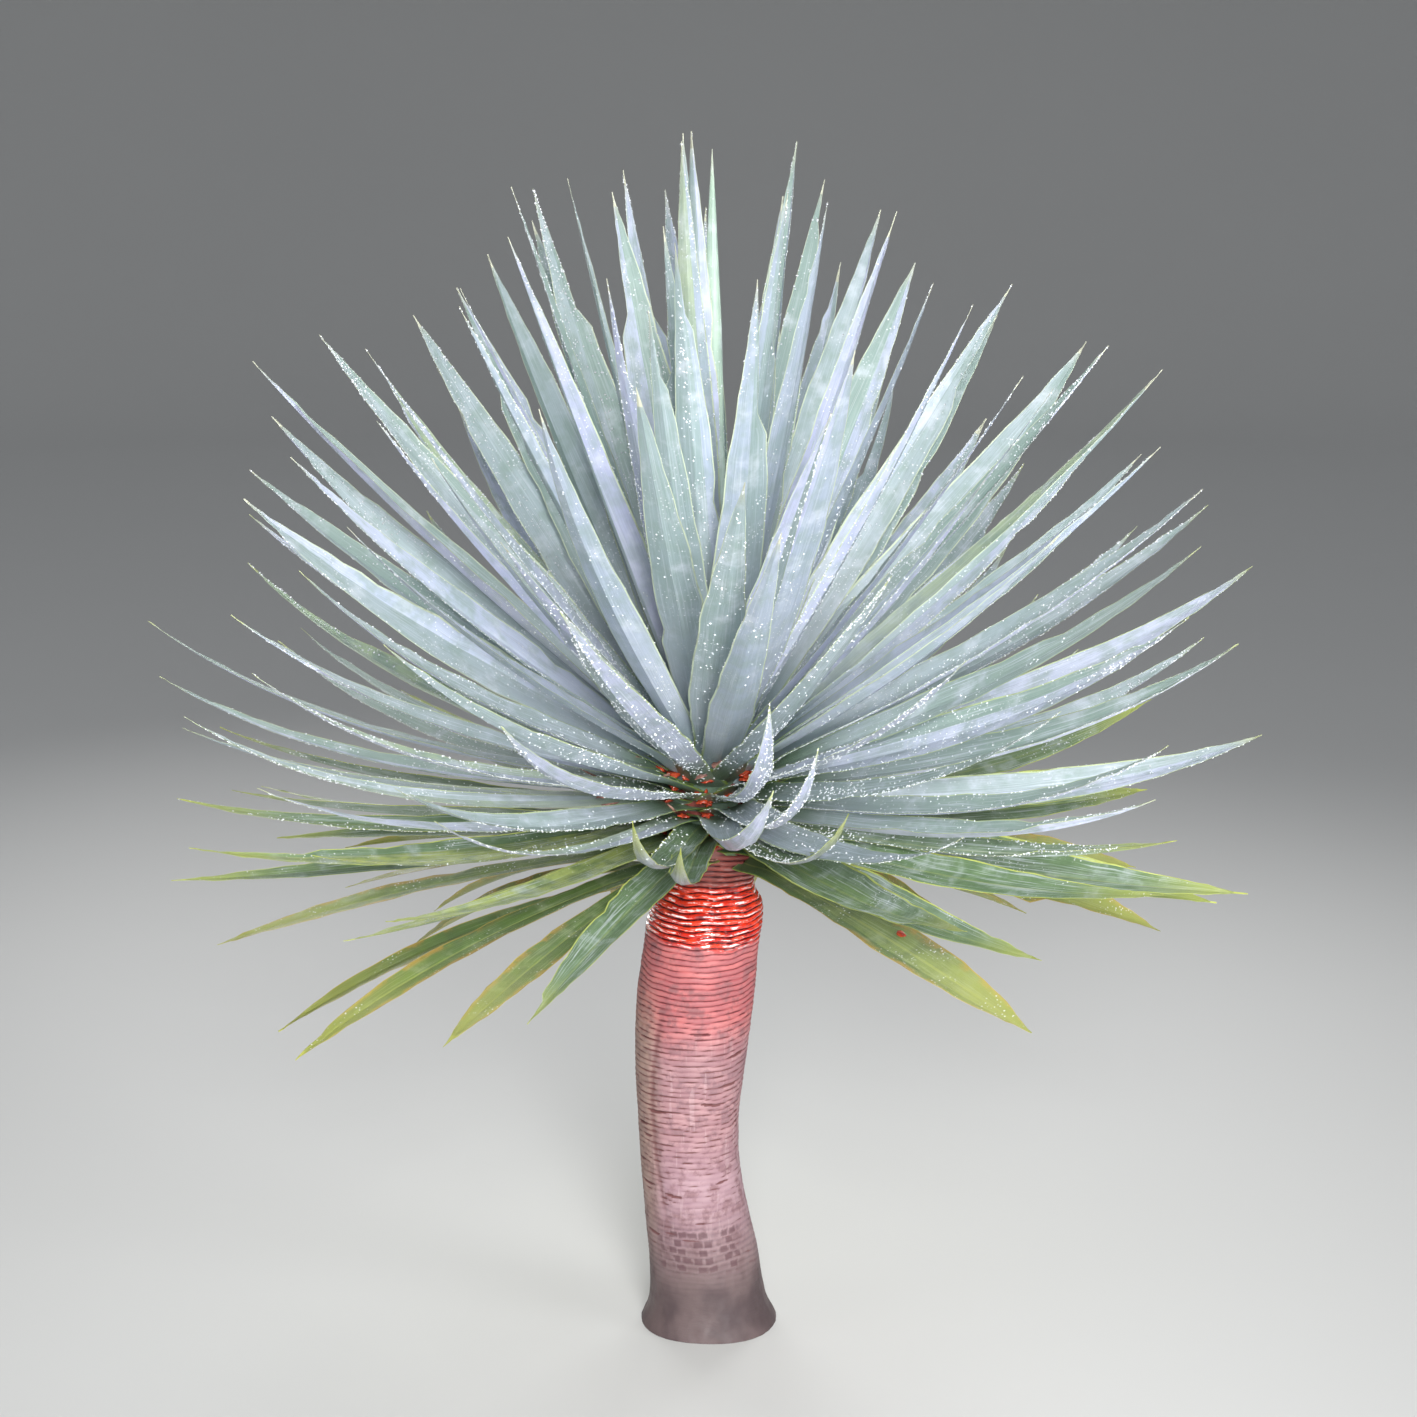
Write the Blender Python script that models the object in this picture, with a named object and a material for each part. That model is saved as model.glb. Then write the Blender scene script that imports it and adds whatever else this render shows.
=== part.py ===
"""Dragon tree: a young single-headed tree, one ringed trunk under a round head of sword leaves.

Metres, +Z up. The origin is the middle of the flat cut at ground level. Bearings are in degrees
round +Z: 0 points to +X, the right of the front view, 90 to the rear and 270 to the front.
"""

import math
import random

import bmesh
import bpy
from mathutils import Matrix, Vector

# Trunk: height above ground, radius and sideways lean of the middle, from the foot to the shoulder
TRUNK_STATIONS = (
    (0.000, 0.0625, 0.000),
    (0.006, 0.0585, 0.000),
    (0.018, 0.0530, -0.001),
    (0.040, 0.0500, -0.003),
    (0.065, 0.0485, -0.005),
    (0.090, 0.0468, -0.009),
    (0.120, 0.0449, -0.013),
    (0.152, 0.0443, -0.016),
    (0.190, 0.0452, -0.017),
    (0.230, 0.0482, -0.016),
    (0.270, 0.0501, -0.014),
    (0.305, 0.0507, -0.011),
    (0.340, 0.0496, -0.007),
    (0.366, 0.0492, -0.003),
    (0.380, 0.0482, -0.001),
    (0.388, 0.0452, 0.001),
    (0.394, 0.0395, 0.002),
    (0.400, 0.0352, 0.003),
    (0.409, 0.0367, 0.003),
    (0.418, 0.0406, 0.003),
)
TRUNK_SIDES = 32

# The slimmer head inside the leaves follows every third turn from the fourth up
HEAD_FROM = 3
HEAD_EVERY = 3

# Crown: its upright axis, and the heart that the leaves radiate from
CROWN_X = 0.003
HEART_Z = 0.478
LIFT_STEP = 5.0
LOWEST_LIFT = -30.0

# Reach of a leaf tip from the heart, by the tip's lift above level in degrees
REACH = ((-15, 0.450), (0, 0.468), (15, 0.492), (30, 0.515), (45, 0.530), (60, 0.545), (85, 0.560))

# How a leaf bends on its way out: an even arc, and a curl that gathers towards the tip, in degrees
ARC_BEND = ((-30, -13.0), (-15, -6.0), (0, 1.5), (15, 4.0), (40, 3.0), (85, 0.0))
TIP_CURL = ((-30, 0.0), (-15, 0.0), (0, 4.5), (15, 9.0), (30, 5.0), (50, 1.0), (65, 0.0))

# Each turn of leaves, lowest first: the bearings of its rear leaves and of its front leaves
TURNS = (
    ((50, 105), (140, 184)),
    ((38, 85), (134,)),
    ((16, 57, 100, 150), (216,)),
    ((22, 60, 100, 145), (188, 240, 305)),
    ((40, 75, 110, 158), (250, 348)),
    ((23, 57, 90, 125, 160), (195, 230, 302, 340)),
    ((17, 45, 78, 120, 172), (207, 237, 263, 295, 318)),
    ((25, 60, 95, 130, 165), (198, 228, 259, 287, 322)),
    ((38, 72, 106, 150, 184), (219, 246, 273, 293, 317, 350)),
    ((15, 45, 80, 118, 150), (184, 213, 240, 283, 318)),
    ((14, 50, 90, 130, 155), (190, 222, 249, 279, 303, 338)),
    ((27, 60, 95, 130), (216, 241, 293, 325, 355)),
    ((8, 45, 85, 125, 167), (222, 257, 282, 328)),
    ((20, 52, 86, 125, 165), (204, 228, 251, 275, 309, 340)),
    ((22, 60, 100, 140, 174), (213, 240, 271, 300, 330)),
    ((25, 62, 98, 134, 184), (223, 248, 280, 311, 342)),
    ((38, 75, 112, 144, 174), (218, 261, 290, 318, 350)),
    ((30, 66, 104, 142), (232, 262, 312)),
    ((45, 90, 140), (222, 252, 280, 310)),
    ((50, 95, 135), (225, 265, 305)),
    ((60, 100, 145, 215, 258, 300),),
    ((60, 120, 215, 295),),
    ((40, 100, 160, 255),),
    ((120, 245),),
)

# Where the leaves spring from: a short straight stem, then a dome that closes at the growing tip
STEM_RADIUS = 0.050
FOOT_SLOPE = 0.006
FOOT_TURNS = 3
FIRST_TURN_Z = 0.406
TURN_RISE = 0.0083
STEM_TURNS = 10
DOME_Z = 0.4675
DOME_HEIGHT = 0.083
DOME_LAG = 5.0

# A leaf blade and the clasping ring that its turn shares
LEAF_WIDTH = 0.041
LEAF_OUTLINE = (
    (0.0, 0.58), (0.1, 0.78), (0.28, 1.0), (0.48, 0.93), (0.68, 0.70), (0.86, 0.38), (1.0, 0.0),
)
LEAF_STATIONS = (0.0, 0.14, 0.36, 0.62, 0.86)
THICKNESS_SHARE = 0.0105
THICKNESS_OUTLINE = ((0.0, 1.0), (0.6, 1.0), (1.0, 0.35))
ROOT_HALF_THICKNESS = 0.0014
THICKENING = 0.03
WIDEST_CLASP = 0.6
SHORTEST_LEAF = 0.91
FULLEST_ROLL = 48.0
RING_INNER, RING_OUTER = -0.007, 0.005
RING_GAP = 0.0012
ROOT_DEPTH = 0.005
RING_ARC_STEP = 30.0
RING_TAPER = 0.035
SEAT_GAP = 0.0006
NODE_GAP = 0.0003
CURVE_STEPS = 80

# Spear: the rolled young leaf at the growing tip. Each station: the share of its height, then
# the share of the greatest half width, then its depth as a share of its width there
SPEAR_HALF_WIDTH = 0.011
SPEAR_TIP_Z = 1.020
SPEAR_STATIONS = (
    (0.0, 0.42, 1.0),
    (0.1, 0.55, 0.85),
    (0.25, 0.85, 0.55),
    (0.45, 1.0, 0.42),
    (0.7, 0.72, 0.40),
    (0.9, 0.28, 0.5),
)
SPEAR_SIDES = 10

BARK_COLOUR = (0.42, 0.20, 0.17, 1.0)
LOW_LEAF_COLOUR = (0.24, 0.34, 0.15, 1.0)
TOP_LEAF_COLOUR = (0.44, 0.55, 0.60, 1.0)
SPEAR_COLOUR = (0.46, 0.58, 0.52, 1.0)


def read_off(table, at):
    """The value at a place in a table of (place, value) knots, straight between knots."""
    if at <= table[0][0]:
        return table[0][1]
    for (low, first), (high, second) in zip(table, table[1:]):
        if at <= high:
            return first + (second - first) * (at - low) / (high - low)
    return table[-1][1]


def material(name, colour, roughness):
    made = bpy.data.materials.new(name)
    made.use_nodes = True
    made.diffuse_color = colour
    shader = made.node_tree.nodes["Principled BSDF"]
    shader.inputs["Base Color"].default_value = colour
    shader.inputs["Roughness"].default_value = roughness
    shader.inputs["Metallic"].default_value = 0.0
    return made


def add_object(name, mesh, parent=None, finish=None):
    made = bpy.data.objects.new(name, mesh)
    bpy.context.scene.collection.objects.link(made)
    made.parent = parent
    if finish:
        mesh.materials.append(finish)
    return made


def loft(name, sections, tip=None, cut=False):
    """A closed mesh through equal rings of points, flat at its ends or drawn to a tip.

    Where it is cut, past the first bay, each diagonal runs from an even point, so that a thin
    twisted blade's two faces are cut alike and stay apart.
    """
    shape = bmesh.new()
    rings = [[shape.verts.new(point) for point in section] for section in sections]
    count = len(rings[0])
    for ring, following in zip(rings, rings[1:]):
        for i in range(count):
            j = (i + 1) % count
            if not cut or ring is rings[0]:
                shape.faces.new((ring[i], ring[j], following[j], following[i]))
            elif i % 2 == 0:
                shape.faces.new((ring[i], ring[j], following[j]))
                shape.faces.new((ring[i], following[j], following[i]))
            else:
                shape.faces.new((ring[i], ring[j], following[i]))
                shape.faces.new((ring[j], following[j], following[i]))
    shape.faces.new(rings[0][::-1])
    if tip is None:
        shape.faces.new(rings[-1])
    else:
        point = shape.verts.new(tip)
        for i in range(count):
            shape.faces.new((rings[-1][i], rings[-1][(i + 1) % count], point))
    bmesh.ops.recalc_face_normals(shape, faces=shape.faces)
    mesh = bpy.data.meshes.new(name)
    shape.to_mesh(mesh)
    shape.free()
    return mesh


def on_crown(radius, height, bearing):
    turned = math.radians(bearing)
    return Vector((CROWN_X + radius * math.cos(turned), radius * math.sin(turned), height))


class Turn:
    """One turn of leaves: where it springs from the stem and the curve that its leaves follow."""

    def __init__(self, index):
        self.lift = LOWEST_LIFT + LIFT_STEP * index
        self.radius, self.height = self.spring(index)
        reach = read_off(REACH, self.lift)
        lift = math.radians(self.lift)
        tip = Vector((reach * math.cos(lift), HEART_Z + reach * math.sin(lift)))
        self.curve = self.bent_curve(tip - Vector((self.radius, self.height)))
        self.length = sum((b - a).length for a, b in zip(self.curve, self.curve[1:]))
        self.room = [0.0] * len(self.curve)

    @staticmethod
    def spring(index):
        """Radius and height of the place on the stem or dome that this turn springs from."""
        if index < STEM_TURNS:
            short = max(0.0, (FOOT_TURNS - index) / FOOT_TURNS)
            return STEM_RADIUS - FOOT_SLOPE * short * short, FIRST_TURN_Z + TURN_RISE * index
        climb = math.radians(LOWEST_LIFT + LIFT_STEP * index - DOME_LAG)
        return STEM_RADIUS * math.cos(climb), DOME_Z + DOME_HEIGHT * math.sin(climb)

    def bent_curve(self, chord):
        """Points from the root to the tip, bent by the arc and the tip curl, ending on the chord."""
        arc = math.radians(read_off(ARC_BEND, self.lift))
        curl = math.radians(read_off(TIP_CURL, self.lift))
        points = [Vector((0.0, 0.0))]
        for step in range(CURVE_STEPS):
            share = (step + 0.5) / CURVE_STEPS
            heading = arc * (2 * share - 1) + curl * (3 * share * share - 1)
            points.append(points[-1] + Vector((math.cos(heading), math.sin(heading))))
        end = points[-1]
        scale = chord.length / end.length
        turn = Matrix.Rotation(
            math.atan2(chord.y, chord.x) - math.atan2(end.y, end.x), 2
        )
        root = Vector((self.radius, self.height))
        return [root + turn @ point * scale for point in points]

    def along(self, share):
        """Place on the curve and its unit direction there, carried straight back below the root."""
        at = min(max(share, 0.0), 1.0) * CURVE_STEPS
        i = min(int(at), CURVE_STEPS - 1)
        direction = (self.curve[i + 1] - self.curve[i]).normalized()
        place = self.curve[i].lerp(self.curve[i + 1], at - i)
        if share < 0:
            place = place + direction * share * self.length
        return place, direction

    def take_room(self, others):
        """Half the distance to the nearest of the turns beside it, all along the curve."""
        self.room = [
            min(distance_to_curve(point, other.curve) for other in others) / 2
            for point in self.curve
        ]

    def room_at(self, share):
        at = min(max(share, 0.0), 1.0) * CURVE_STEPS
        i = min(int(at), CURVE_STEPS - 1)
        return self.room[i] + (self.room[i + 1] - self.room[i]) * (at - i)


def distance_to_curve(point, curve):
    """Shortest distance from a point to a curve of short straight pieces."""
    nearest = math.inf
    for start, end in zip(curve, curve[1:]):
        piece = end - start
        share = (point - start).dot(piece) / piece.length_squared
        foot = start + piece * min(max(share, 0.0), 1.0)
        nearest = min(nearest, (point - foot).length)
    return nearest


def all_turns():
    """The turns of leaves, lowest first, each with the room that its neighbours leave it."""
    turns = [Turn(index) for index in range(len(TURNS))]
    for index, turn in enumerate(turns):
        turn.take_room(turns[max(index - 1, 0):index] + turns[index + 1:index + 2])
    return turns


def leaf_mesh(name, turn, bearing, share_of_length):
    """A blade with a ridged middle, laid along the turn's curve at one bearing.

    Outwards it rolls about its own middle, its upper face to the front, as far as it has room.
    """
    length = turn.length * share_of_length
    fullest = length * THICKNESS_SHARE / 2
    wanted = math.sin(math.radians(FULLEST_ROLL)) * math.cos(math.radians(bearing))
    sections = []
    for share in (-ROOT_DEPTH / length,) + LEAF_STATIONS:
        place, direction = turn.along(share * share_of_length)
        across = Vector((-direction.y, direction.x))
        thick = fullest * read_off(THICKNESS_OUTLINE, share)
        thick = min(thick, ROOT_HALF_THICKNESS + THICKENING * max(share, 0) * length)
        half_width = LEAF_WIDTH / 2 * read_off(LEAF_OUTLINE, share)
        room = max(turn.room_at(share * share_of_length) - thick - NODE_GAP, 0.0)
        rise = max(-room, min(room, wanted * half_width))
        level = math.sqrt(1 - (rise / half_width) ** 2)
        spread = math.degrees(min(half_width * level / place.x, WIDEST_CLASP))
        lean = math.degrees(thick * rise / half_width / place.x)
        low_edge, high_edge = place - across * rise, place + across * rise
        lower, upper = place - across * thick * level, place + across * thick * level
        sections.append(
            (
                on_crown(low_edge.x, low_edge.y, bearing - spread),
                on_crown(lower.x, lower.y, bearing + lean),
                on_crown(high_edge.x, high_edge.y, bearing + spread),
                on_crown(upper.x, upper.y, bearing - lean),
            )
        )
    end, _ = turn.along(share_of_length)
    return loft(name, sections, tip=on_crown(end.x, end.y, bearing), cut=True)


def ring_mesh(name, turn, half_thickness, start, end):
    """The clasping bases of a turn: a low collar round part of the stem, or all of it."""
    root, direction = turn.along(0.0)
    across = Vector((-direction.y, direction.x))
    count = max(2, round((end - start) / RING_ARC_STEP))
    whole = end - start >= 360
    flat_of_facet = math.cos(math.radians((end - start) / count / 2))
    corners = [root + direction * RING_OUTER]
    for side in (1, -1):
        corner = root + direction * RING_INNER
        corner += across * side * (half_thickness + RING_TAPER * RING_INNER)
        corner.x /= flat_of_facet
        corners.append(corner)
    bearings = [start + (end - start) * i / count for i in range(count + (not whole))]
    shape = bmesh.new()
    rows = [
        [shape.verts.new(on_crown(corner.x, corner.y, bearing)) for corner in corners]
        for bearing in bearings
    ]
    pairs = list(zip(rows, rows[1:])) + ([(rows[-1], rows[0])] if whole else [])
    for row, following in pairs:
        for i in range(len(corners)):
            j = (i + 1) % len(corners)
            shape.faces.new((row[i], row[j], following[j], following[i]))
    if not whole:
        shape.faces.new(rows[0])
        shape.faces.new(rows[-1][::-1])
    bmesh.ops.recalc_face_normals(shape, faces=shape.faces)
    mesh = bpy.data.meshes.new(name)
    shape.to_mesh(mesh)
    shape.free()
    return mesh


def fuse(body, pieces):
    """Joins the pieces to the body by one Boolean union, applied."""
    gathered = bpy.data.collections.new(body.name + "_leaves")
    bpy.context.scene.collection.children.link(gathered)
    for piece in pieces:
        bpy.context.scene.collection.objects.unlink(piece)
        gathered.objects.link(piece)
    union = body.modifiers.new("Leaves", "BOOLEAN")
    union.operation = "UNION"
    union.operand_type = "COLLECTION"
    union.collection = gathered
    bpy.context.view_layer.update()
    graph = bpy.context.evaluated_depsgraph_get()
    joined = bpy.data.meshes.new_from_object(body.evaluated_get(graph))
    body.modifiers.clear()
    body.data = joined
    for piece in pieces:
        bpy.data.objects.remove(piece)
    bpy.data.collections.remove(gathered)


def build_spray(name, turn, half_thickness, bearings, start, end, finish, parent, chance):
    """One node of leaves: a clasping ring, with each leaf's root sunk in it."""
    body = add_object(name, ring_mesh(name, turn, half_thickness, start, end), parent, finish)
    pieces = []
    for number, bearing in enumerate(bearings):
        share = chance.uniform(SHORTEST_LEAF, 1.0)
        mesh = leaf_mesh(f"{name}_{number}", turn, bearing, share)
        pieces.append(add_object(mesh.name, mesh, None, finish))
    fuse(body, pieces)
    body.data.shade_smooth()
    body.data.set_sharp_from_angle(angle=math.radians(35))
    return body


def build_crown(turns, parent):
    """Every turn of leaves, as a rear and a front spray, or as one spray near the growing tip."""
    for index, (turn, sprays) in enumerate(zip(turns, TURNS)):
        chance = random.Random(index)
        share = index / (len(TURNS) - 1)
        colour = [a + (b - a) * share for a, b in zip(LOW_LEAF_COLOUR, TOP_LEAF_COLOUR)]
        half = ring_half_thickness(turns, index)
        clear = math.degrees(NODE_GAP / turn.radius)
        for number, bearings in enumerate(sprays):
            side = ("rear", "front")[number] if len(sprays) > 1 else "round"
            start, end = bearings[0] - 180, bearings[0] + 180
            if len(sprays) > 1:
                other = sprays[1 - number]
                before = other[-1] - (360 if number == 0 else 0)
                after = other[0] + (360 if number == 1 else 0)
                start = (before + bearings[0]) / 2 + clear
                end = (bearings[-1] + after) / 2 - clear
            name = f"leaf_turn_{index + 1:02d}_{side}"
            finish = material(name, colour, 0.55)
            build_spray(name, turn, half, bearings, start, end, finish, parent, chance)


def ring_half_thickness(turns, index):
    """Half the room between this turn's ring and the nearer of the rings next to it."""
    turn = turns[index]
    _, direction = turn.along(0.0)
    across = Vector((-direction.y, direction.x))
    room = []
    for other in turns[max(index - 1, 0):index + 2]:
        if other is not turn:
            step = Vector((other.radius - turn.radius, other.height - turn.height))
            room.append(abs(step.dot(across)))
    return (min(room) - RING_GAP) / 2


def build_trunk(turns, parent):
    """The whole stem: flared foot, leaning trunk, shoulder, and the slimmer head inside the leaves."""
    profile = list(TRUNK_STATIONS)
    for turn in turns[HEAD_FROM:-1:HEAD_EVERY] + turns[-1:]:
        root, direction = turn.along(0.0)
        seat = root + direction * (RING_INNER - SEAT_GAP)
        profile.append((seat.y, seat.x, CROWN_X))
    sections = []
    for height, radius, middle in profile:
        ring = []
        for i in range(TRUNK_SIDES):
            turned = math.tau * i / TRUNK_SIDES
            ring.append((middle + radius * math.cos(turned), radius * math.sin(turned), height))
        sections.append(ring)
    mesh = loft("trunk", sections)
    trunk = add_object("trunk", mesh, parent, material("trunk", BARK_COLOUR, 0.7))
    mesh.shade_smooth()
    mesh.set_sharp_from_angle(angle=math.radians(50))
    return profile[-1][0]


def build_spear(foot, parent):
    """The rolled young leaf, standing on the growing tip inside the topmost turn."""
    tall = SPEAR_TIP_Z - foot
    sections = []
    for share, wide, deep in SPEAR_STATIONS:
        ring = []
        for i in range(SPEAR_SIDES):
            turned = math.tau * i / SPEAR_SIDES
            x = SPEAR_HALF_WIDTH * wide * math.cos(turned)
            y = SPEAR_HALF_WIDTH * wide * deep * math.sin(turned)
            ring.append((CROWN_X + x, y, foot + tall * share))
        sections.append(ring)
    mesh = loft("leaf_spear", sections, tip=(CROWN_X, 0.0, SPEAR_TIP_Z))
    add_object("leaf_spear", mesh, parent, material("leaf_spear", SPEAR_COLOUR, 0.5))
    mesh.shade_smooth()


def main():
    for thing in list(bpy.data.objects):
        bpy.data.objects.remove(thing)
    root = bpy.data.objects.new("dragon_tree", None)
    bpy.context.scene.collection.objects.link(root)
    turns = all_turns()
    head_top = build_trunk(turns, root)
    build_crown(turns, root)
    build_spear(head_top + NODE_GAP, root)


main()
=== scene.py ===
"""The dragon tree's looks: bark, sword leaves, their clasping bases, gum and dew.

Metres, +Z up, origin on the ground under the trunk. Bearings are in degrees round +Z: 0 points to
+X, the right of the front view, 90 to the rear and 270 to the front, where the camera stands.
"""

import itertools
import random
from math import asin, atan2, cos, degrees, exp, pi, radians, sin, sqrt, tan, tau

import bpy
import numpy as np
from mathutils import Matrix, Vector


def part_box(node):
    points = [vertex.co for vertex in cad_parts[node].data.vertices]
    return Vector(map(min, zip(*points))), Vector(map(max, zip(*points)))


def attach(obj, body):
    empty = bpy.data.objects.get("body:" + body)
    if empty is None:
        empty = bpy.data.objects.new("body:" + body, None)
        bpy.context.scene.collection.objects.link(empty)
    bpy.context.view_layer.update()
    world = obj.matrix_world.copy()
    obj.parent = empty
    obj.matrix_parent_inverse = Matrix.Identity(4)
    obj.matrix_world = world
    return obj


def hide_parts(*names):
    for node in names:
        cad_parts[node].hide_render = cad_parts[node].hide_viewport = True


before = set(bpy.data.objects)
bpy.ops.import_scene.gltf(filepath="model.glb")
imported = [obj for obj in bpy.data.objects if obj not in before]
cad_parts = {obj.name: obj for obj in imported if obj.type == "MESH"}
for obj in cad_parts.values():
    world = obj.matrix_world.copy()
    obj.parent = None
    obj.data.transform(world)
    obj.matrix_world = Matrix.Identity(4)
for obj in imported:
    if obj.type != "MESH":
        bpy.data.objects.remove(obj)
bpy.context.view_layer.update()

# Camera: what it looks at, how far off it stands, how many degrees up, and its lens
AIM_Z = 0.553
CAMERA_DISTANCE = 2.4
CAMERA_RISE = 12.0
LENS_MM = 71.7

# Trunk: height above ground, radius and sideways lean of the middle, from the foot into the head
TRUNK_STATIONS = (
    (0.000, 0.0625, 0.000), (0.006, 0.0585, 0.000), (0.018, 0.0530, -0.001),
    (0.040, 0.0500, -0.003), (0.065, 0.0485, -0.005), (0.090, 0.0468, -0.009),
    (0.120, 0.0449, -0.013), (0.152, 0.0443, -0.016), (0.190, 0.0452, -0.017),
    (0.230, 0.0482, -0.016), (0.270, 0.0501, -0.014), (0.305, 0.0507, -0.011),
    (0.340, 0.0496, -0.007), (0.366, 0.0492, -0.003), (0.380, 0.0482, -0.001),
    (0.388, 0.0452, 0.001), (0.394, 0.0395, 0.002), (0.400, 0.0352, 0.003),
    (0.409, 0.0367, 0.003), (0.418, 0.0406, 0.003),
)

# Bark: the first turn of leaves that its head follows and how far under it, points in a row, how
# far its profile is smoothed, spans of heights with their steps, its depth under the trunk's radius
HEAD_TURN = 3
HEAD_INSET = 0.0045
BARK_COLUMNS = 216
BARK_SMOOTHING = 0.006
BARK_SPANS = ((0.0, 0.06, 0.0018), (0.06, 0.30, 0.0011), (0.30, 0.435, 0.00075), (0.435, 1.0, 0.006))
BARK_DEPTH = 0.0006
BARK_MARKS = ("groove", "crest", "ring_tone", "scar")

# Bark rings: their pitch, and where the bark turns glossy, with its fade in relief and in colour
RING_PITCH = 0.0050
GLOSS_FROM = 0.354
GLOSS_FADE = 0.008
GLOSS_EDGE = 0.003

# Relief of the bark in metres. Grooves and crests: on dry bark, and what gloss adds to that
RING_WANDER = (0.0013, 0.0007)
GROOVE_DEPTH = (0.00075, 0.0006)
SLIT_DEPTH = 0.0011
SEAM_DEPTH = 0.0008
CREST_HEIGHT = (0.00045, 0.0011)
BARK_UNEVEN = 0.0009
BARK_GRAIN = 0.00013

# Unevenness of the bark by its use: a seed, its waves round the trunk, its most radians of wave per
# unit of height, and how many waves it adds up
RIPPLES = {
    "slow_wander": (5, (1, 3), 30, 6),
    "quick_wander": (6, (4, 11), 160, 8),
    "grooves": (8, (2, 14), 2.0, 14),
    "slits": (9, (2, 8), 2.0, 14),
    "crests": (10, (2, 9), 2.0, 10),
    "uneven": (11, (1, 5), 40, 7),
    "grain": (12, (9, 40), 500, 16),
    "ring_tone": (13, (1, 7), 2.0, 8),
}

# Heights between which marks on the bark come in; a zone has such a pair at its foot and its head
WORN_BELOW = (0.22, 0.08)
SLITS_BELOW = (0.32, 0.27)
SLITS_OPEN = (0.05, 0.12)
RINGED = (0.03, 0.08, 0.445, 0.430)
SEAMED = (0.08, 0.13, 0.33, 0.27)
SCARRED = (0.056, 0.064, 0.104, 0.096)

# Heights between which one colour of the bark gives way to the next, and how far left the olive is
SALMON_FROM = (0.245, 0.300)
PALE_BELOW = (0.20, 0.13)
# The foot darkens, partly its own grey-brown bark and partly painted shade
FOOT_SHADE_BELOW = (0.140, 0.040)
OLIVE_BELOW = (0.345, 0.27)
OLIVE_LEFT_OF = (-0.036, -0.054)
NECK_FROM = (0.399, 0.409)
NECK_DULL = (0.411, 0.400)

# The upright seam, and the square scars low on the front: bearings, and a scar's breadth and rise
SEAM_BEARING = 233.0
SCAR_MIDDLE = 272.0
SCAR_SIDES = (0.95, 0.75)
SCAR_TURN = 11.5
SCAR_RISE = 0.0076

# Crown: its upright axis, and the heart that the leaves radiate from
CROWN_X = 0.003
HEART_Z = 0.478
LIFT_STEP = 5.0
LOWEST_LIFT = -30.0

# Reach of a leaf tip from the heart, by the tip's lift above level in degrees
REACH = ((-15, 0.450), (0, 0.468), (15, 0.492), (30, 0.515), (45, 0.530), (60, 0.545), (85, 0.560))

# How a leaf bends on its way out: an even arc, and a curl that gathers towards the tip, in degrees
ARC_BEND = ((-30, -13.0), (-15, -6.0), (0, 1.5), (15, 4.0), (40, 3.0), (85, 0.0))
TIP_CURL = ((-30, 0.0), (-15, 0.0), (0, 4.5), (15, 9.0), (30, 5.0), (50, 1.0), (65, 0.0))

# Each turn of leaves, lowest first: the bearings of its rear leaves and of its front leaves
TURNS = (
    ((50, 105), (140, 184)),
    ((38, 85), (134,)),
    ((16, 57, 100, 150), (216,)),
    ((22, 60, 100, 145), (188, 240, 305)),
    ((40, 75, 110, 158), (250, 348)),
    ((23, 57, 90, 125, 160), (195, 230, 302, 340)),
    ((17, 45, 78, 120, 172), (207, 237, 263, 295, 318)),
    ((25, 60, 95, 130, 165), (198, 228, 259, 287, 322)),
    ((38, 72, 106, 150, 184), (219, 246, 273, 293, 317, 350)),
    ((15, 45, 80, 118, 150), (184, 213, 240, 283, 318)),
    ((14, 50, 90, 130, 155), (190, 222, 249, 279, 303, 338)),
    ((27, 60, 95, 130), (216, 241, 293, 325, 355)),
    ((8, 45, 85, 125, 167), (222, 257, 282, 328)),
    ((20, 52, 86, 125, 165), (204, 228, 251, 275, 309, 340)),
    ((22, 60, 100, 140, 174), (213, 240, 271, 300, 330)),
    ((25, 62, 98, 134, 184), (223, 248, 280, 311, 342)),
    ((38, 75, 112, 144, 174), (218, 261, 290, 318, 350)),
    ((30, 66, 104, 142), (232, 262, 312)),
    ((45, 90, 140), (222, 252, 280, 310)),
    ((50, 95, 135), (225, 265, 305)),
    ((60, 100, 145, 215, 258, 300),),
    ((60, 120, 215, 295),),
    ((40, 100, 160, 255),),
    ((120, 245),),
)

# Where the leaves spring from: a short straight stem, drawn in a little at its foot, then a dome
# that closes at the growing tip
STEM_RADIUS = 0.050
FOOT_SLOPE = 0.006
FOOT_TURNS = 3
FIRST_TURN_Z = 0.406
TURN_RISE = 0.0083
STEM_TURNS = 10
DOME_Z = 0.4675
DOME_HEIGHT = 0.083
DOME_LAG = 5.0
CURVE_STEPS = 80

# A leaf blade: its width, its outline and that of the oldest leaves, how its thickness runs, how its
# points are spaced, and how its root clasps the stem
LEAF_WIDTH = 0.041
LEAF_OUTLINE = (
    (0.0, 0.58), (0.1, 0.80), (0.28, 1.0), (0.48, 0.91), (0.68, 0.67), (0.86, 0.34), (1.0, 0.0),
)
OLD_OUTLINE = (
    (0.0, 0.50), (0.1, 0.62), (0.3, 0.78), (0.5, 0.94), (0.66, 1.0), (0.84, 0.68), (1.0, 0.0),
)
BLADE_THICKNESS = ((0.0, 0.0024), (0.2, 0.0014), (0.6, 0.0008), (1.0, 0.0004))
SHORTEST_LEAF = 0.91
FULLEST_ROLL = 48.0
NODE_GAP = 0.0003
SHEATH_STATIONS = 6
BLADE_STATIONS = 32
STATION_CROWDING = 0.09
SHEATH_BEND = 0.010
SHEATH_TAIL = 0.006
SHEATH_TAPER = 0.65
SHEATHED_FROM = 4
TIP_HALF_WIDTH = 0.0004
MARGIN = 0.94
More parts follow.
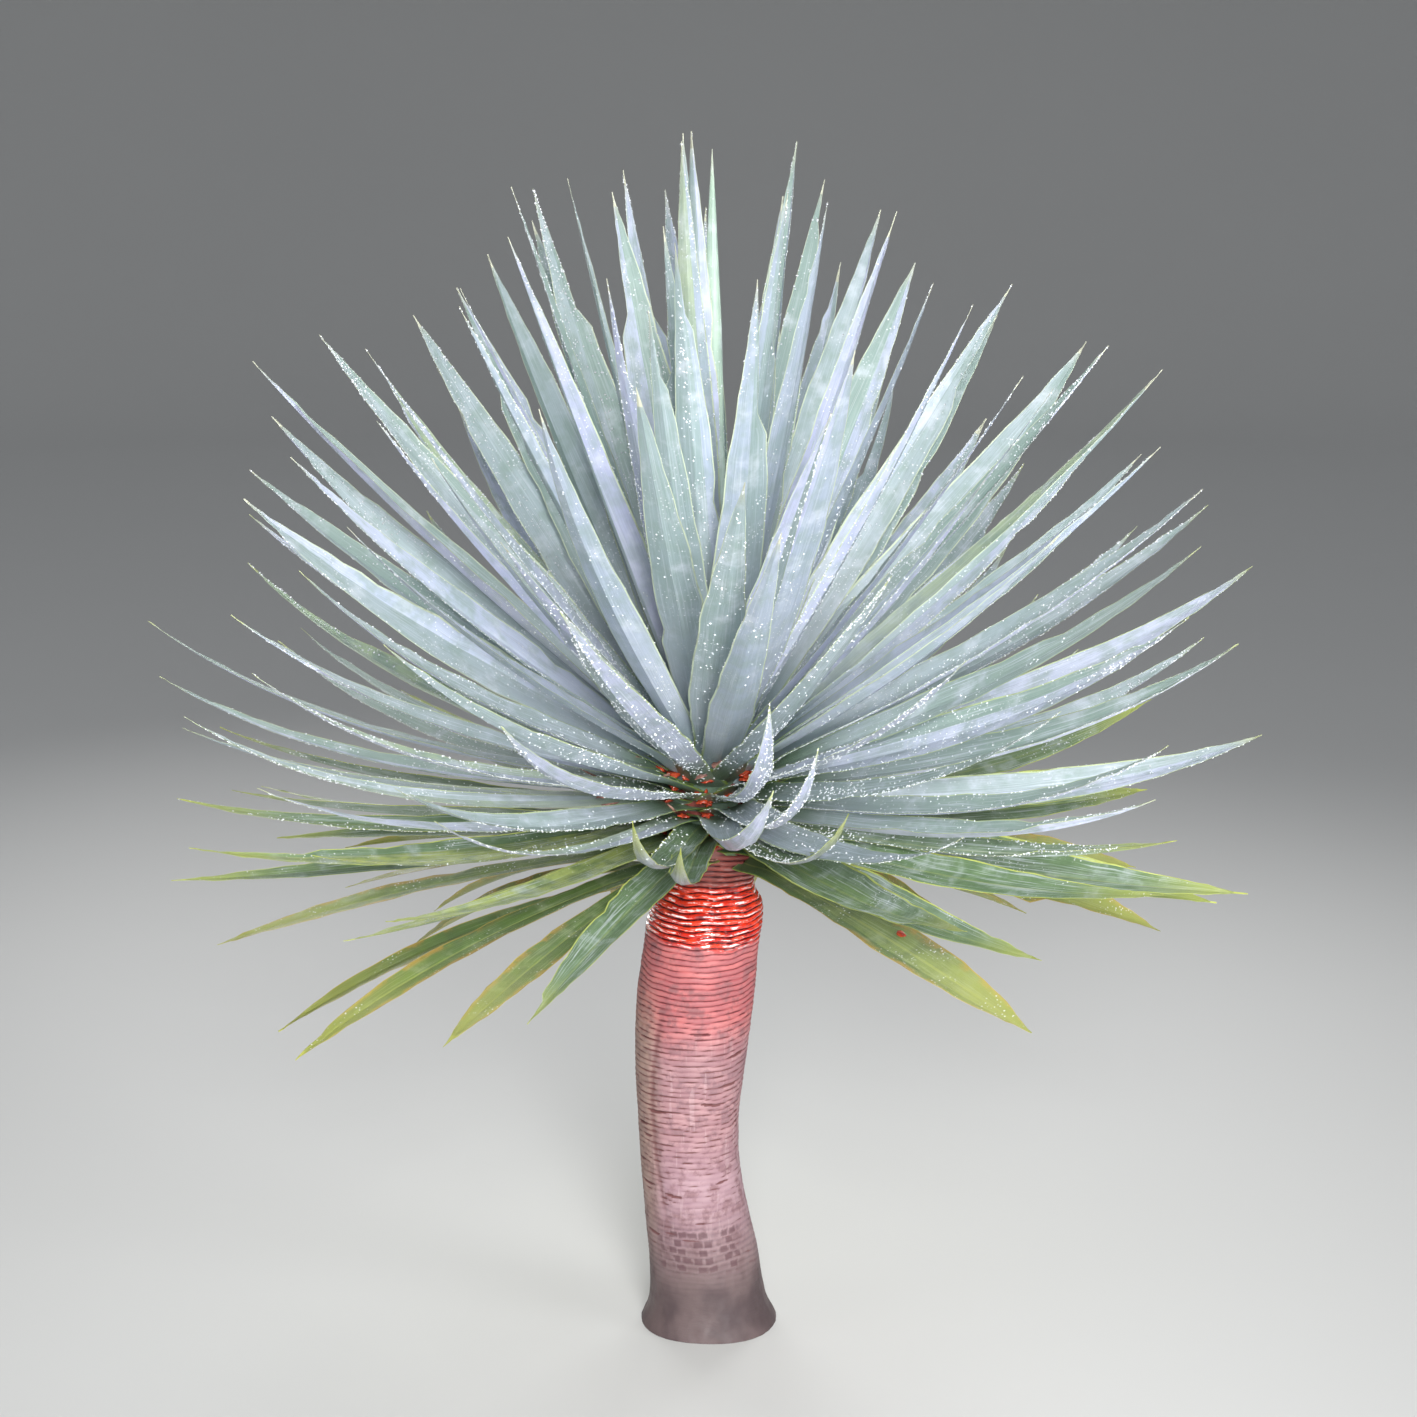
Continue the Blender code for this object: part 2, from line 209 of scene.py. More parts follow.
ACROSS = (-1.0, -MARGIN, -0.72, -0.48, -0.24, 0.0, 0.24, 0.48, 0.72, MARGIN, 1.0)
CLASP_EXTRA = 0.013
CLASP_REACH = 0.022
CLASP_LEAST = 0.2
CLASP_LOW = 0.3
UNCLASPED_TURN = 20
CLASP_BULGE = 0.0035
WIDEST_CLASP = 0.70

# How the leaves differ: ranges, spreads about the mean, and shares, with angles in degrees
WIDTHS = (0.76, 1.06)
FOLDS = (4, 20)
CREASES = (0.0, 0.24, -0.24, 0.48, -0.48, None)
CREASE_FOLDS = (16, 42)
TWIST_SPREAD = 10
SWAY_SPREAD = 1.6
BOW_SPREAD = 0.005
STAGGER = 0.0010
TINT_WEIGHTS = (4, 4, 3, 0.25)
DRY_FROM = (0.955, 0.99)
ROLLS = (0.8, 1.0)
EDGE_UNEVEN = 0.075
RIPPLE = 0.0008

# Torn tips and nicks: how many leaves, from where on the leaf, and the width that they leave
TORN_SHARE = 0.32
TORN_FROM = (0.66, 0.92)
TORN_WIDTH = 0.4
MOST_NICKS = 3
NICKED_AT = (0.3, 0.95)
NICK_WIDTH = 0.8
NICK_REACH = 0.017

# Low leaves that point at the viewer and curl up and aside
CURLED_TURNS = (5, 10)
CURLED_MIDDLE = 271
CURLED_SPREAD = 20
CURLED_LEAST = 8
CURLED_LENGTH = (0.68, 0.80)
CURLED_WIDTH = 0.86
CURLED_FOLDS = (16, 28)
CURLED_TWISTS = (12, 26)
CURLS = (0.050, 0.072)

# Low leaves on the viewer's left that lie flat, edge on to the viewer
FLAT_TURNS = 11
FLAT_SIDE = (110, 250)
FLAT_WIDTH = 0.74
FLAT_ROLLS = (0.0, 0.4)
FLAT_TINT_WEIGHTS = (2, 3, 3, 3)

# Spear: the rolled young leaf at the growing tip. A station: shares of its height and of its greatest
# half width, and its depth as a share of its width. A lip: how far out, at which column, how broad
SPEAR_ROWS = 40
SPEAR_COLUMNS = 40
SPEAR_TWIST = 0.5
SPEAR_LIPS = ((0.10, 6, 1.6), (-0.13, 9, 1.2))
SPEAR_HALF_WIDTH = 0.011
SPEAR_TIP_Z = 1.020
SPEAR_STATIONS = (
    (0.0, 0.42, 1.0), (0.1, 0.55, 0.85), (0.25, 0.85, 0.55), (0.45, 1.0, 0.42),
    (0.7, 0.72, 0.40), (0.9, 0.28, 0.5), (1.0, 0.02, 0.5),
)

# Dew on each half of the crown: its drops, the lowest turn that has them, how many lie in a patch,
# where on the leaf it lies and how far it scatters along and across, their size, and the columns of
# a blade that a patch may follow
DEW_DROPS = 27000
DEW_LOWEST_TURN = 7
DEW_PATCH = (4, 26)
DEW_ALONG = (0.04, 0.95, 0.4)
DEW_SCATTER = (0.07, 0.8)
DEW_RADIUS = (0.0008, 0.0015)
DEW_SMALLER = (0.6, 1.0)
DEW_HEIGHT = 0.7
DEW_COLUMNS = (0, 0, 1, 2, 3, 4, 4, 5, 5, 6, 7, 8, 9, 9)

# Gum: the turns whose crotches may hold it, the share that do, how many clots lie in one and how many
# degrees apart, how far out from the stem and up from the roots, and their half sizes
GUM_TURNS = (4, 13)
GUM_SHARE = 0.8
GUM_CLOTS = (2, 4)
GUM_SPREAD = 5
GUM_OUT = (0.005, 0.011)
GUM_UP = (-0.001, 0.005)
GUM_WIDE = (0.0022, 0.0058)
GUM_TALL = (0.0012, 0.0034)
GUM_DEEP = 0.004

# Papery scraps between the leaf bases: how many, on which turns, how far out along a leaf and up from
# it, how they slope outward and lie askew, and their half sizes
SCRAPS = 80
SCRAP_TURNS = (4, 12)
SCRAP_REACH = (0.01, 0.16)
SCRAP_UP = (0.002, 0.006)
SCRAP_SLOPE = (-0.2, 0.9)
SCRAP_SKEW = 0.7
SCRAP_LONG = (0.004, 0.009)
SCRAP_WIDE = (0.0014, 0.0036)
SCRAP_THICK = 0.0006

# One red spot: its leaf's turn and bearing, its place along and across the blade, its half width and
# half thickness, and its length as a share of its width
SPOTTED_LEAF = (3, 305)
SPOT_PLACE = (0.56, 0.45)
SPOT_SIZE = (0.0032, 0.0006)
SPOT_LENGTH = 1.5

# How uneven the lumps of gum and the scraps are, and the red spot
LUMP_UNEVEN = 0.6
SPOT_UNEVEN = 0.2

# Floor: radius of its flat part and of the bend at its edge, heights of its rim and its flat part
FLOOR_FLAT = 7.0
FLOOR_BEND = 2.5
FLOOR_RIM = 5.0
FLOOR_Z = -0.0002
FLOOR_COLOUR = (208, 208, 206)

# Lamps: place, the height on the axis that each is aimed at, width and power, and the beam of all
LAMPS = {
    "key": ((0.2, -2.6, 1.5), 0.52, 0.9, 15.2),
    "gloss": ((0.4, -1.9, 0.7), 0.46, 0.6, 4.6),
    "fill_right": ((2.7, -1.5, 1.3), 0.52, 1.6, 6.4),
    "fill_left": ((-2.7, -1.0, 0.9), 0.52, 1.6, 1.6),
    "rear": ((0.8, 2.5, 2.3), 0.52, 1.6, 8.5),
    "rear_fill": ((-0.9, 2.8, 1.3), 0.52, 1.6, 7.0),
}
LAMP_BEAM = 80
SKY_COLOUR = (0.86, 0.89, 0.94, 1.0)
SKY_STRENGTH = 0.37

# Leaf finishes from the lowest leaves up: the first turn of each, its colours as 0 to 255 screen
# values, where along the leaf it ripens, and how strong each effect is
TIER_LOOKS = {
    "name": ("old", "low", "middle", "high"),
    "from_turn": (0, 4, 8, 13),
    "upper": (
        ((118, 142, 66), (132, 150, 84), (104, 132, 68), (156, 162, 84)),
        ((118, 144, 106), (136, 158, 128), (124, 150, 98), (176, 190, 112)),
        ((172, 187, 190), (198, 206, 226), (152, 174, 164), (180, 200, 168)),
        ((173, 190, 194), (194, 204, 225), (152, 175, 168), (181, 200, 166)),
    ),
    "under": (
        ((132, 148, 92), (140, 152, 90), (120, 142, 90), (140, 150, 92)),
        ((170, 180, 190), (148, 165, 148), (144, 163, 120), (184, 196, 124)),
        ((192, 199, 224), (212, 217, 240), (168, 184, 190), (186, 203, 182)),
        ((190, 196, 225), (177, 190, 207), (161, 180, 182), (183, 200, 172)),
    ),
    "band": ((92, 114, 72), (94, 121, 84), (144, 165, 158), (146, 168, 160)),
    # The pale bloom colour, also used for the painted highlight streaks and the painted light towards the
    # base
    "bloom_and_painted_light": ((186, 196, 160), (214, 222, 228), (236, 240, 255), (240, 244, 255)),
    "base": ((92, 114, 80), (90, 118, 84), (98, 126, 94), (160, 180, 186)),
    "margin": ((192, 170, 88), (194, 204, 108), (196, 210, 160), (206, 217, 188)),
    "tip": ((172, 174, 84), (186, 196, 92), (192, 200, 150), (204, 206, 184)),
    "ripens_from": (0.5, 0.74, 0.92, 0.93),
    "midrib": (0.35, 0.2, 0.0, 0.0),
    "rust": (0.6, 0.0, 0.0, 0.0),
    # Strength of the painted highlights: pale streaks in the bloom colour that stand in for glossy
    # highlights
    "painted_highlight_streaks": (0.35, 0.6, 0.45, 0.25),
    # Strength of the painted light that pales the blades towards the base, against the shade of the
    # crowding leaves
    "painted_base_light": (0.0, 0.0, 0.22, 0.38),
    "pleats": (0.0014, 0.0016, 0.0012, 0.001),
}
LEAF_TIERS = [dict(zip(TIER_LOOKS, looks)) for looks in zip(*TIER_LOOKS.values())]

# Leaf finishes: shares of a leaf's length between which its painted light (paler towards the base), its
# green base and its margin's green root come in, and the share of its light that a colour keeps in its
# darker parts
PAINTED_LIGHT_BELOW = (0.60, 0.14)
GREEN_BELOW = (0.21, 0.05)
RIM_GREEN_BELOW = (0.16, 0.03)
DARKER = 0.62

# Seeds of what is strewn about, and what a turn's number is added to for its leaves
SEEDS = {"leaves": 100, "gum": 41, "scraps": 53, "dew_rear": 7, "dew_front": 8}

# Finish numbers of a spray: its upper tints, its under tints, then the margin and the tip
TINTS = 4
MARGIN_SLOT = 2 * TINTS
TIP_SLOT = MARGIN_SLOT + 1


def read_off(table, at):
    """The value at a place in a table of (place, value) knots, straight between knots."""
    if at <= table[0][0]:
        return table[0][1]
    for (low, first), (high, second) in zip(table, table[1:]):
        if at <= high:
            return first + (second - first) * (at - low) / (high - low)
    return table[-1][1]


def smooth_off(table, at):
    """As read_off, on a curve with no kinks at the knots."""
    knots = (table[0], *table, table[-1])
    for before, (low, first), (high, second), after in zip(knots, knots[1:], knots[2:], knots[3:]):
        if at <= high:
            span = high - low
            share = (at - low) / span
            leave = (second - before[1]) / (high - before[0]) * span
            arrive = (after[1] - first) / (after[0] - low) * span
            square, cube = share * share, share ** 3
            return (
                first * (2 * cube - 3 * square + 1)
                + leave * (cube - 2 * square + share)
                + second * (3 * square - 2 * cube)
                + arrive * (cube - square)
            )
    return table[-1][1]


def plain_mesh(name, points, faces, sharp=None):
    """A smooth mesh, in which edges over the sharp angle in degrees stay crisp."""
    made = bpy.data.meshes.new(name)
    made.from_pydata([tuple(point) for point in points], [], faces)
    made.shade_smooth()
    if sharp:
        made.set_sharp_from_angle(angle=radians(sharp))
    return made


def add_object(name, data, place=None, aim=None):
    """A new object in the scene. One with a place looks from there at its aim."""
    made = bpy.data.objects.new(name, data)
    bpy.context.scene.collection.objects.link(made)
    if place is not None:
        made.location = place
        made.rotation_euler = (Vector(aim) - Vector(place)).to_track_quat("-Z", "Y").to_euler()
    return made


def add_piece(name, mesh, finishes, replaced=None):
    """A piece of the tree: it rides on the one body and may stand for a solid."""
    piece = add_object(name, mesh)
    for finish in finishes:
        mesh.materials.append(finish)
    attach(piece, "root")
    if replaced:
        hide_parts(replaced)


def between_rings(low, high, count):
    """Faces that join two rings of points, each given by the number of its first point."""
    for i in range(count):
        j = (i + 1) % count
        yield low + i, high + i, high + j, low + j


# The turns of leaves, by the rule that the solids follow


class Turn:
    """One turn of leaves: where it springs from the stem and the curve that its leaves follow."""

    def __init__(self, index):
        self.index = index
        self.lift = LOWEST_LIFT + LIFT_STEP * index
        self.radius, self.height = self.spring(index)
        reach = read_off(REACH, self.lift)
        lift = radians(self.lift)
        tip = Vector((reach * cos(lift), HEART_Z + reach * sin(lift)))
        self.curve = self.bent_curve(tip - Vector((self.radius, self.height)))
        self.length = sum((b - a).length for a, b in zip(self.curve, self.curve[1:]))
        direction = self.along(0.0)[1]
        self.leaving = atan2(direction.y, direction.x)
        self.sheath_length = SHEATH_TAIL
        if index >= SHEATHED_FROM:
            self.sheath_length += SHEATH_BEND * (pi / 2 - self.leaving)
        self.room = []

    @staticmethod
    def spring(index):
        """Radius and height of the place on the stem or dome that this turn springs from."""
        if index < STEM_TURNS:
            short = max(0.0, (FOOT_TURNS - index) / FOOT_TURNS)
            return STEM_RADIUS - FOOT_SLOPE * short * short, FIRST_TURN_Z + TURN_RISE * index
        climb = radians(LOWEST_LIFT + LIFT_STEP * index - DOME_LAG)
        return STEM_RADIUS * cos(climb), DOME_Z + DOME_HEIGHT * sin(climb)

    def bent_curve(self, chord):
        """Points from the root to the tip, bent by the arc and the tip curl, ending on the chord."""
        arc = radians(read_off(ARC_BEND, self.lift))
        curl = radians(read_off(TIP_CURL, self.lift))
        points = [Vector((0.0, 0.0))]
        for step in range(CURVE_STEPS):
            share = (step + 0.5) / CURVE_STEPS
            heading = arc * (2 * share - 1) + curl * (3 * share * share - 1)
            points.append(points[-1] + Vector((cos(heading), sin(heading))))
        end = points[-1]
        scale = chord.length / end.length
        turn = Matrix.Rotation(atan2(chord.y, chord.x) - atan2(end.y, end.x), 2)
        root = Vector((self.radius, self.height))
        return [root + turn @ point * scale for point in points]

    @staticmethod
    def step_at(share):
        """The step of the curve that a share of its length falls in, and how far into that step."""
        at = min(max(share, 0.0), 1.0) * CURVE_STEPS
        step = min(int(at), CURVE_STEPS - 1)
        return step, at - step

    def along(self, share):
        """Place on the curve and its unit direction there, carried straight back below the root."""
        i, into = self.step_at(share)
        direction = (self.curve[i + 1] - self.curve[i]).normalized()
        place = self.curve[i].lerp(self.curve[i + 1], into)
        if share < 0:
            place = place + direction * share * self.length
        return place, direction

    def sheath(self, back):
        """Place and direction on the clasping foot, a distance back from where the blade springs."""
        heading = min(self.leaving + back / SHEATH_BEND, pi / 2)
        inward = SHEATH_BEND * (sin(heading) - sin(self.leaving))
        down = SHEATH_BEND * (cos(self.leaving) - cos(heading))
        down += max(0.0, back - SHEATH_BEND * (pi / 2 - self.leaving))
        return self.curve[0] - Vector((inward, down)), Vector((cos(heading), sin(heading)))

    def take_room(self, others):
        """Half the distance to the nearest of the turns beside it, all along the curve."""
        near = [point for other in others for point in other.curve]
        self.room = [min((point - other).length for other in near) / 2 for point in self.curve]

    def room_at(self, share):
        i, into = self.step_at(share)
        return self.room[i] + (self.room[i + 1] - self.room[i]) * into


def all_turns():
    turns = [Turn(index) for index in range(len(TURNS))]
    for index, turn in enumerate(turns):
        turn.take_room(turns[max(index - 1, 0):index] + turns[index + 1:index + 2])
    return turns


def on_crown(radius, height, bearing):
    turned = radians(bearing)
    return (CROWN_X + radius * cos(turned), radius * sin(turned), height)


def ways(bearing):
    """Unit vectors at a bearing: straight out from the axis, and round it."""
    turned = radians(bearing)
    along, across = cos(turned), sin(turned)
    return Vector((along, across, 0)), Vector((-across, along, 0))


# Leaf blades


class Habit:
    """How one leaf differs from its neighbours."""

    def __init__(self, chance, turn, number, bearing):
        flat = turn.index < FLAT_TURNS and FLAT_SIDE[0] < bearing < FLAT_SIDE[1]
        self.width = chance.uniform(*WIDTHS)
        self.fold = radians(chance.uniform(*FOLDS))
        self.crease = chance.choice(CREASES)
        self.crease_fold = radians(chance.uniform(*CREASE_FOLDS))
        self.twist = radians(chance.gauss(0, TWIST_SPREAD))
        self.sway = chance.gauss(0, SWAY_SPREAD)
        self.bow = chance.gauss(0, BOW_SPREAD)
        self.curl = 0.0
        self.outset = STAGGER if number % 2 else -STAGGER
        self.tints = chance.choices(range(TINTS), FLAT_TINT_WEIGHTS if flat else TINT_WEIGHTS, k=2)
        self.phases = [chance.uniform(0, tau) for _ in range(6)]
        self.dry = chance.uniform(*DRY_FROM)
        self.clasp = CLASP_EXTRA * min(1.0, max(CLASP_LEAST, (UNCLASPED_TURN - turn.index) / 8))
        if turn.index < SHEATHED_FROM:
            self.clasp *= CLASP_LOW
        self.torn_from = chance.uniform(*TORN_FROM) if chance.random() < TORN_SHARE else None
        self.torn_side = chance.choice((-1, 1))
        nicks = range(chance.randrange(MOST_NICKS + 1))
        self.nicks = [(chance.uniform(*NICKED_AT), chance.choice((-1, 1))) for _ in nicks]
        self.length = 1.0
        self.roll = chance.uniform(*ROLLS)
        if flat:
            self.roll = chance.uniform(*FLAT_ROLLS)
            self.width *= FLAT_WIDTH
        aside = bearing - CURLED_MIDDLE
        if CURLED_TURNS[0] <= turn.index <= CURLED_TURNS[1] and abs(aside) < CURLED_SPREAD:
            self.curl_up(chance, aside)

    def curl_up(self, chance, aside):
        """A leaf that points at the viewer hooks up and away from the middle."""
        away = 1 if aside > 0 else -1
        self.width *= CURLED_WIDTH
        self.fold = radians(chance.uniform(*CURLED_FOLDS))
        self.sway = away * (max(abs(aside), CURLED_LEAST) + chance.uniform(-3, 2)) - aside
        self.twist = radians(away * chance.uniform(*CURLED_TWISTS))
        self.curl = chance.uniform(*CURLS)
        self.length = chance.uniform(*CURLED_LENGTH)
        self.torn_from = None
        self.tints = [0, 0]

    def half_width(self, a, share, half, clasp):
        """Distance from the middle line out to a place across the blade, from -1 to 1."""
        uneven = wave(self, share, a) * min(1, 3 * share) * min(1, 8 * (1 - share))
        x = a * (half * (1 + EDGE_UNEVEN * uneven) + self.clasp * clasp)
        if self.torn_from and a * self.torn_side > 0.3 and share > self.torn_from:
            x *= TORN_WIDTH
        for at, side in self.nicks:
            if a * side > 0.6 and abs(share - at) < NICK_REACH:
                x *= NICK_WIDTH
        return x


def wave(habit, share, side):
    """Slow unevenness of a leaf's edge, from -1 to 1, its own on each side."""
    first = 0 if side > 0 else 3
    a, b, c = habit.phases[first:first + 3]
    slow = 0.7 * sin(19 * share + a) + 0.8 * sin(43 * share + b)
    return (slow + 0.8 * sin(97 * share + c)) / 2.3


def blade_row(turn, bearing, habit, share, place, direction, half, reach):
    """One row of points across the upper face, and one across the under face."""
    normal = Vector((-direction.y, direction.x))
    inside = max(share, 0.0)
    clasp = exp(-((inside * reach / CLASP_REACH) ** 2))
    wanted = habit.roll * sin(radians(FULLEST_ROLL)) * cos(radians(bearing))
    rolled = max(turn.room_at(inside) - NODE_GAP, 0.0) / half
    tilt = asin(max(-rolled, min(rolled, wanted)))
    tilt += habit.twist * inside * (1.3 - inside)
    thick = read_off(BLADE_THICKNESS, inside) / 2
    lift = habit.bow * inside ** 2 + habit.curl * inside ** 4 + habit.outset * clasp
    swing = bearing + habit.sway * inside ** 2
    drawn_in = 1 - SHEATH_TAPER * (max(0.0, -share) * reach / turn.sheath_length) ** 2
    rows = ([], [])
    for a in ACROSS:
        x = habit.half_width(a, inside, half, clasp) * drawn_in
        channel = abs(x) * tan(habit.fold) * (1 - clasp) * (1 - 0.4 * inside)
        if habit.crease is not None:
            beyond = (a - habit.crease) * (1 if habit.crease >= 0 else -1)
            channel += max(0.0, beyond) * half * tan(habit.crease_fold) * min(1, 2.5 * inside)
        ripple = RIPPLE * a * a * wave(habit, 1.7 * inside + 3, a) * min(1, 4 * inside)
        pushed = lift + channel + ripple - CLASP_BULGE * clasp * (1 - a * a)
        for row, side in zip(rows, (1, -1)):
            out = pushed + side * thick * (1 - 0.75 * a * a) + x * sin(tilt)
            spot = place + normal * out
            turned = min(max(x * cos(tilt) / spot.x, -WIDEST_CLASP), WIDEST_CLASP)
            row.append(on_crown(spot.x, spot.y, swing + degrees(turned)))
    return rows


def blade_surfaces(turn, bearing, share_of_length, habit):
    """Points of a leaf's upper and under faces: a row across for each station from sheath to tip."""
    share_of_length *= habit.length
    length = turn.length * share_of_length
    outline = OLD_OUTLINE if tier_of(turn.index) == 0 else LEAF_OUTLINE
    upper, under, shares = [], [], []
    for k in range(SHEATH_STATIONS):
        back = turn.sheath_length * (1 - k / SHEATH_STATIONS)
        shares.append((-back / length, *turn.sheath(back)))
    for k in range(BLADE_STATIONS + 1):
        even = k / BLADE_STATIONS
        share = even - STATION_CROWDING * sin(tau * even)
        shares.append((share, *turn.along(share * share_of_length)))
    for share, place, direction in shares:
        inside = max(share, 0.0)
        half = LEAF_WIDTH / 2 * smooth_off(outline, inside)
        half = max(half * (1 + (habit.width - 1) * min(1, 4 * inside)), TIP_HALF_WIDTH)
        above, below = blade_row(turn, bearing, habit, share, place, direction, half, length)
        upper.append(above)
        under.append(below)
    return np.array(upper), np.array(under), [share for share, _, _ in shares]


class Spray:
    """Blades gathered in one mesh: a finish for each face, a place on its leaf for each point."""

    def __init__(self):
        self.points = []
        self.faces = []
        self.slots = []
        self.places = []

    def add_blade(self, upper, under, shares, habit, own):
        """One closed blade. Its crease parts two tints; the margin and the dry tip have their own."""
        columns = len(ACROSS)
        first = len(self.points)
        around = 2 * columns - 2
        across = [*ACROSS, *ACROSS[-2:0:-1]]
        for k, share in enumerate(shares):
            middle = (upper[k] + under[k]) / 2
            ring = [middle[0], *upper[k][1:-1], middle[-1], *under[k][-2:0:-1]]
            self.points.extend(ring)
            self.places.extend((a, share, own) for a in across)
        for k in range(len(shares) - 1):
            low = first + k * around
            self.faces.extend(between_rings(low, low + around, around))
            for i in range(around):
                middle = (across[i] + across[(i + 1) % around]) / 2
                beyond = habit.crease is not None and middle > habit.crease
                if shares[k] > habit.dry:
                    self.slots.append(TIP_SLOT)
                elif i in (0, columns - 2, columns - 1, around - 1):
                    self.slots.append(MARGIN_SLOT)
                else:
                    self.slots.append(habit.tints[beyond] + (0 if i < columns - 1 else TINTS))
        last = first + (len(shares) - 1) * around
        self.faces.append(tuple(range(first, first + around)))
        self.faces.append(tuple(range(last + around - 1, last - 1, -1)))
        self.slots.extend((TINTS, TIP_SLOT))

    def mesh(self, name, sharp=18):
        made = plain_mesh(name, self.points, self.faces, sharp)
        made.polygons.foreach_set("material_index", self.slots)
        places = made.attributes.new("blade", "FLOAT_VECTOR", "POINT")
        places.data.foreach_set("vector", np.array(self.places, np.float32).ravel())
        return made


def tier_of(index):
    """Number of the leaf finish tier that a turn belongs to."""
    return max(i for i, tier in enumerate(LEAF_TIERS) if index >= tier["from_turn"])


def tier_finishes(tier):
    """The finishes of one tier in slot order: upper faces, under faces, margin, tip."""
    name = tier["name"]
    made = []
    for side in ("upper", "under"):
        for i, colour in enumerate(tier[side]):
            made.append(leaf_face(f"leaf_{name}_{side}_{i}", colour, tier, side == "upper"))
    made.append(leaf_rim(f"leaf_{name}_margin", tier["margin"], (146, 176, 84)))
    made.append(leaf_rim(f"leaf_{name}_tip", tier["tip"], tier["tip"]))
    return made


def build_leaves(turns):
    """One piece for each node of leaves. Returns rear and front faces for dew, and the spotted one."""
    finishes = [tier_finishes(tier) for tier in LEAF_TIERS]
    wet = ([], [])
    for turn, sprays in zip(turns, TURNS):
        lengths = random.Random(turn.index)
        chance = random.Random(SEEDS["leaves"] + turn.index)
        number = 0
        for side, bearings in enumerate(sprays):
            spray = Spray()
            for bearing in bearings:
                share_of_length = lengths.uniform(SHORTEST_LEAF, 1.0)
                habit = Habit(chance, turn, number, bearing)
                upper, under, shares = blade_surfaces(turn, bearing, share_of_length, habit)
                spray.add_blade(upper, under, shares, habit, chance.random())
                number += 1
                if turn.index >= DEW_LOWEST_TURN:
                    wet[bearing > 180].extend(((upper, 1), (under, -1)))
                if (turn.index, bearing) == SPOTTED_LEAF:
                    spotted = upper
            side_name = ("rear", "front")[side] if len(sprays) > 1 else "round"
            ending = f"{turn.index + 1:02d}_{side_name}"
            mesh = spray.mesh(f"blades_{ending}")
            add_piece(mesh.name, mesh, finishes[tier_of(turn.index)], f"leaf_turn_{ending}")
    return (*wet, spotted)


def build_spear():
    """The rolled young leaf: two halves, one wrapped in the other, standing on the growing tip."""
    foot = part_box("leaf_spear")[0].z
    tall = SPEAR_TIP_Z - foot
    wide_table = [(share, wide) for share, wide, _ in SPEAR_STATIONS]
    deep_table = [(share, deep) for share, _, deep in SPEAR_STATIONS]
    rows, columns = SPEAR_ROWS, SPEAR_COLUMNS
    spear = Spray()
    for k in range(rows + 1):
        share = k / rows
        wide = SPEAR_HALF_WIDTH * read_off(wide_table, share)
        deep = wide * read_off(deep_table, share)
        for i in range(columns):
            turned = tau * i / columns
            lip = sum(out * exp(-(((i - at) / broad) ** 2)) for out, at, broad in SPEAR_LIPS)
            seam = 1 + lip * min(1, 4 * (1 - share))
            twist = turned + SPEAR_TWIST * share
            x, y = wide * seam * cos(twist), deep * seam * sin(twist)
            spear.points.append((CROWN_X + x, y, foot + tall * share))
            spear.places.append((sin(turned), share, 0.4))
    for low in range(0, rows * columns, columns):
        for i in range(columns):
            j = (i + 1) % columns
            spear.faces.append((low + i, low + j, low + columns + j, low + columns + i))
    spear.faces.append(tuple(range(columns - 1, -1, -1)))
    spear.faces.append(tuple(range(rows * columns, (rows + 1) * columns)))
    spear.slots = [0] * len(spear.faces)
    finish = leaf_face("spear_face", (176, 202, 182), LEAF_TIERS[-1], False)
    add_piece("spear", spear.mesh("spear", 40), [finish], "leaf_spear")


# Bark


def ripples(use, bearing, height):
    """A smooth unevenness of about -1 to 1 on the trunk's surface, joined up all the way round."""
    seed, rounds, rises, count = RIPPLES[use]
    chance = random.Random(seed)
    total = np.zeros(np.broadcast(bearing, height).shape)
    for _ in range(count):
        around = chance.randint(*rounds)
        up = chance.uniform(-rises, rises)
        total += np.sin(around * bearing + up * height + chance.uniform(0, tau))
    return total / sqrt(count / 2) / 1.6


def step_between(low, high, value):
    share = np.clip((value - low) / (high - low), 0, 1)
    return share * share * (3 - 2 * share)


def zone(ends, value):
    """1 within a zone, eased to 0 past both of its ends."""
    return step_between(*ends[:2], value) * step_between(*ends[2:], value)


def bark_rows(turns):
    """Heights of the bark's rows of points, close where the rings stand out, and the profile there."""
    roots = [turn.along(0.0) for turn in turns[HEAD_TURN:]]
    seats = [root - direction * HEAD_INSET for root, direction in roots]
    heights, radii, leans = zip(*TRUNK_STATIONS, *((seat.y, seat.x, CROWN_X) for seat in seats))
    rows = [np.arange(low, min(high, heights[-1]), step) for low, high, step in BARK_SPANS]
    rows = np.concatenate(rows + [[heights[-1]]])
    near = rows[:, None] + np.array([-1, -0.5, 0, 0.5, 1])[None, :] * BARK_SMOOTHING
    return rows, np.interp(near, heights, radii).mean(1), np.interp(near, heights, leans).mean(1)


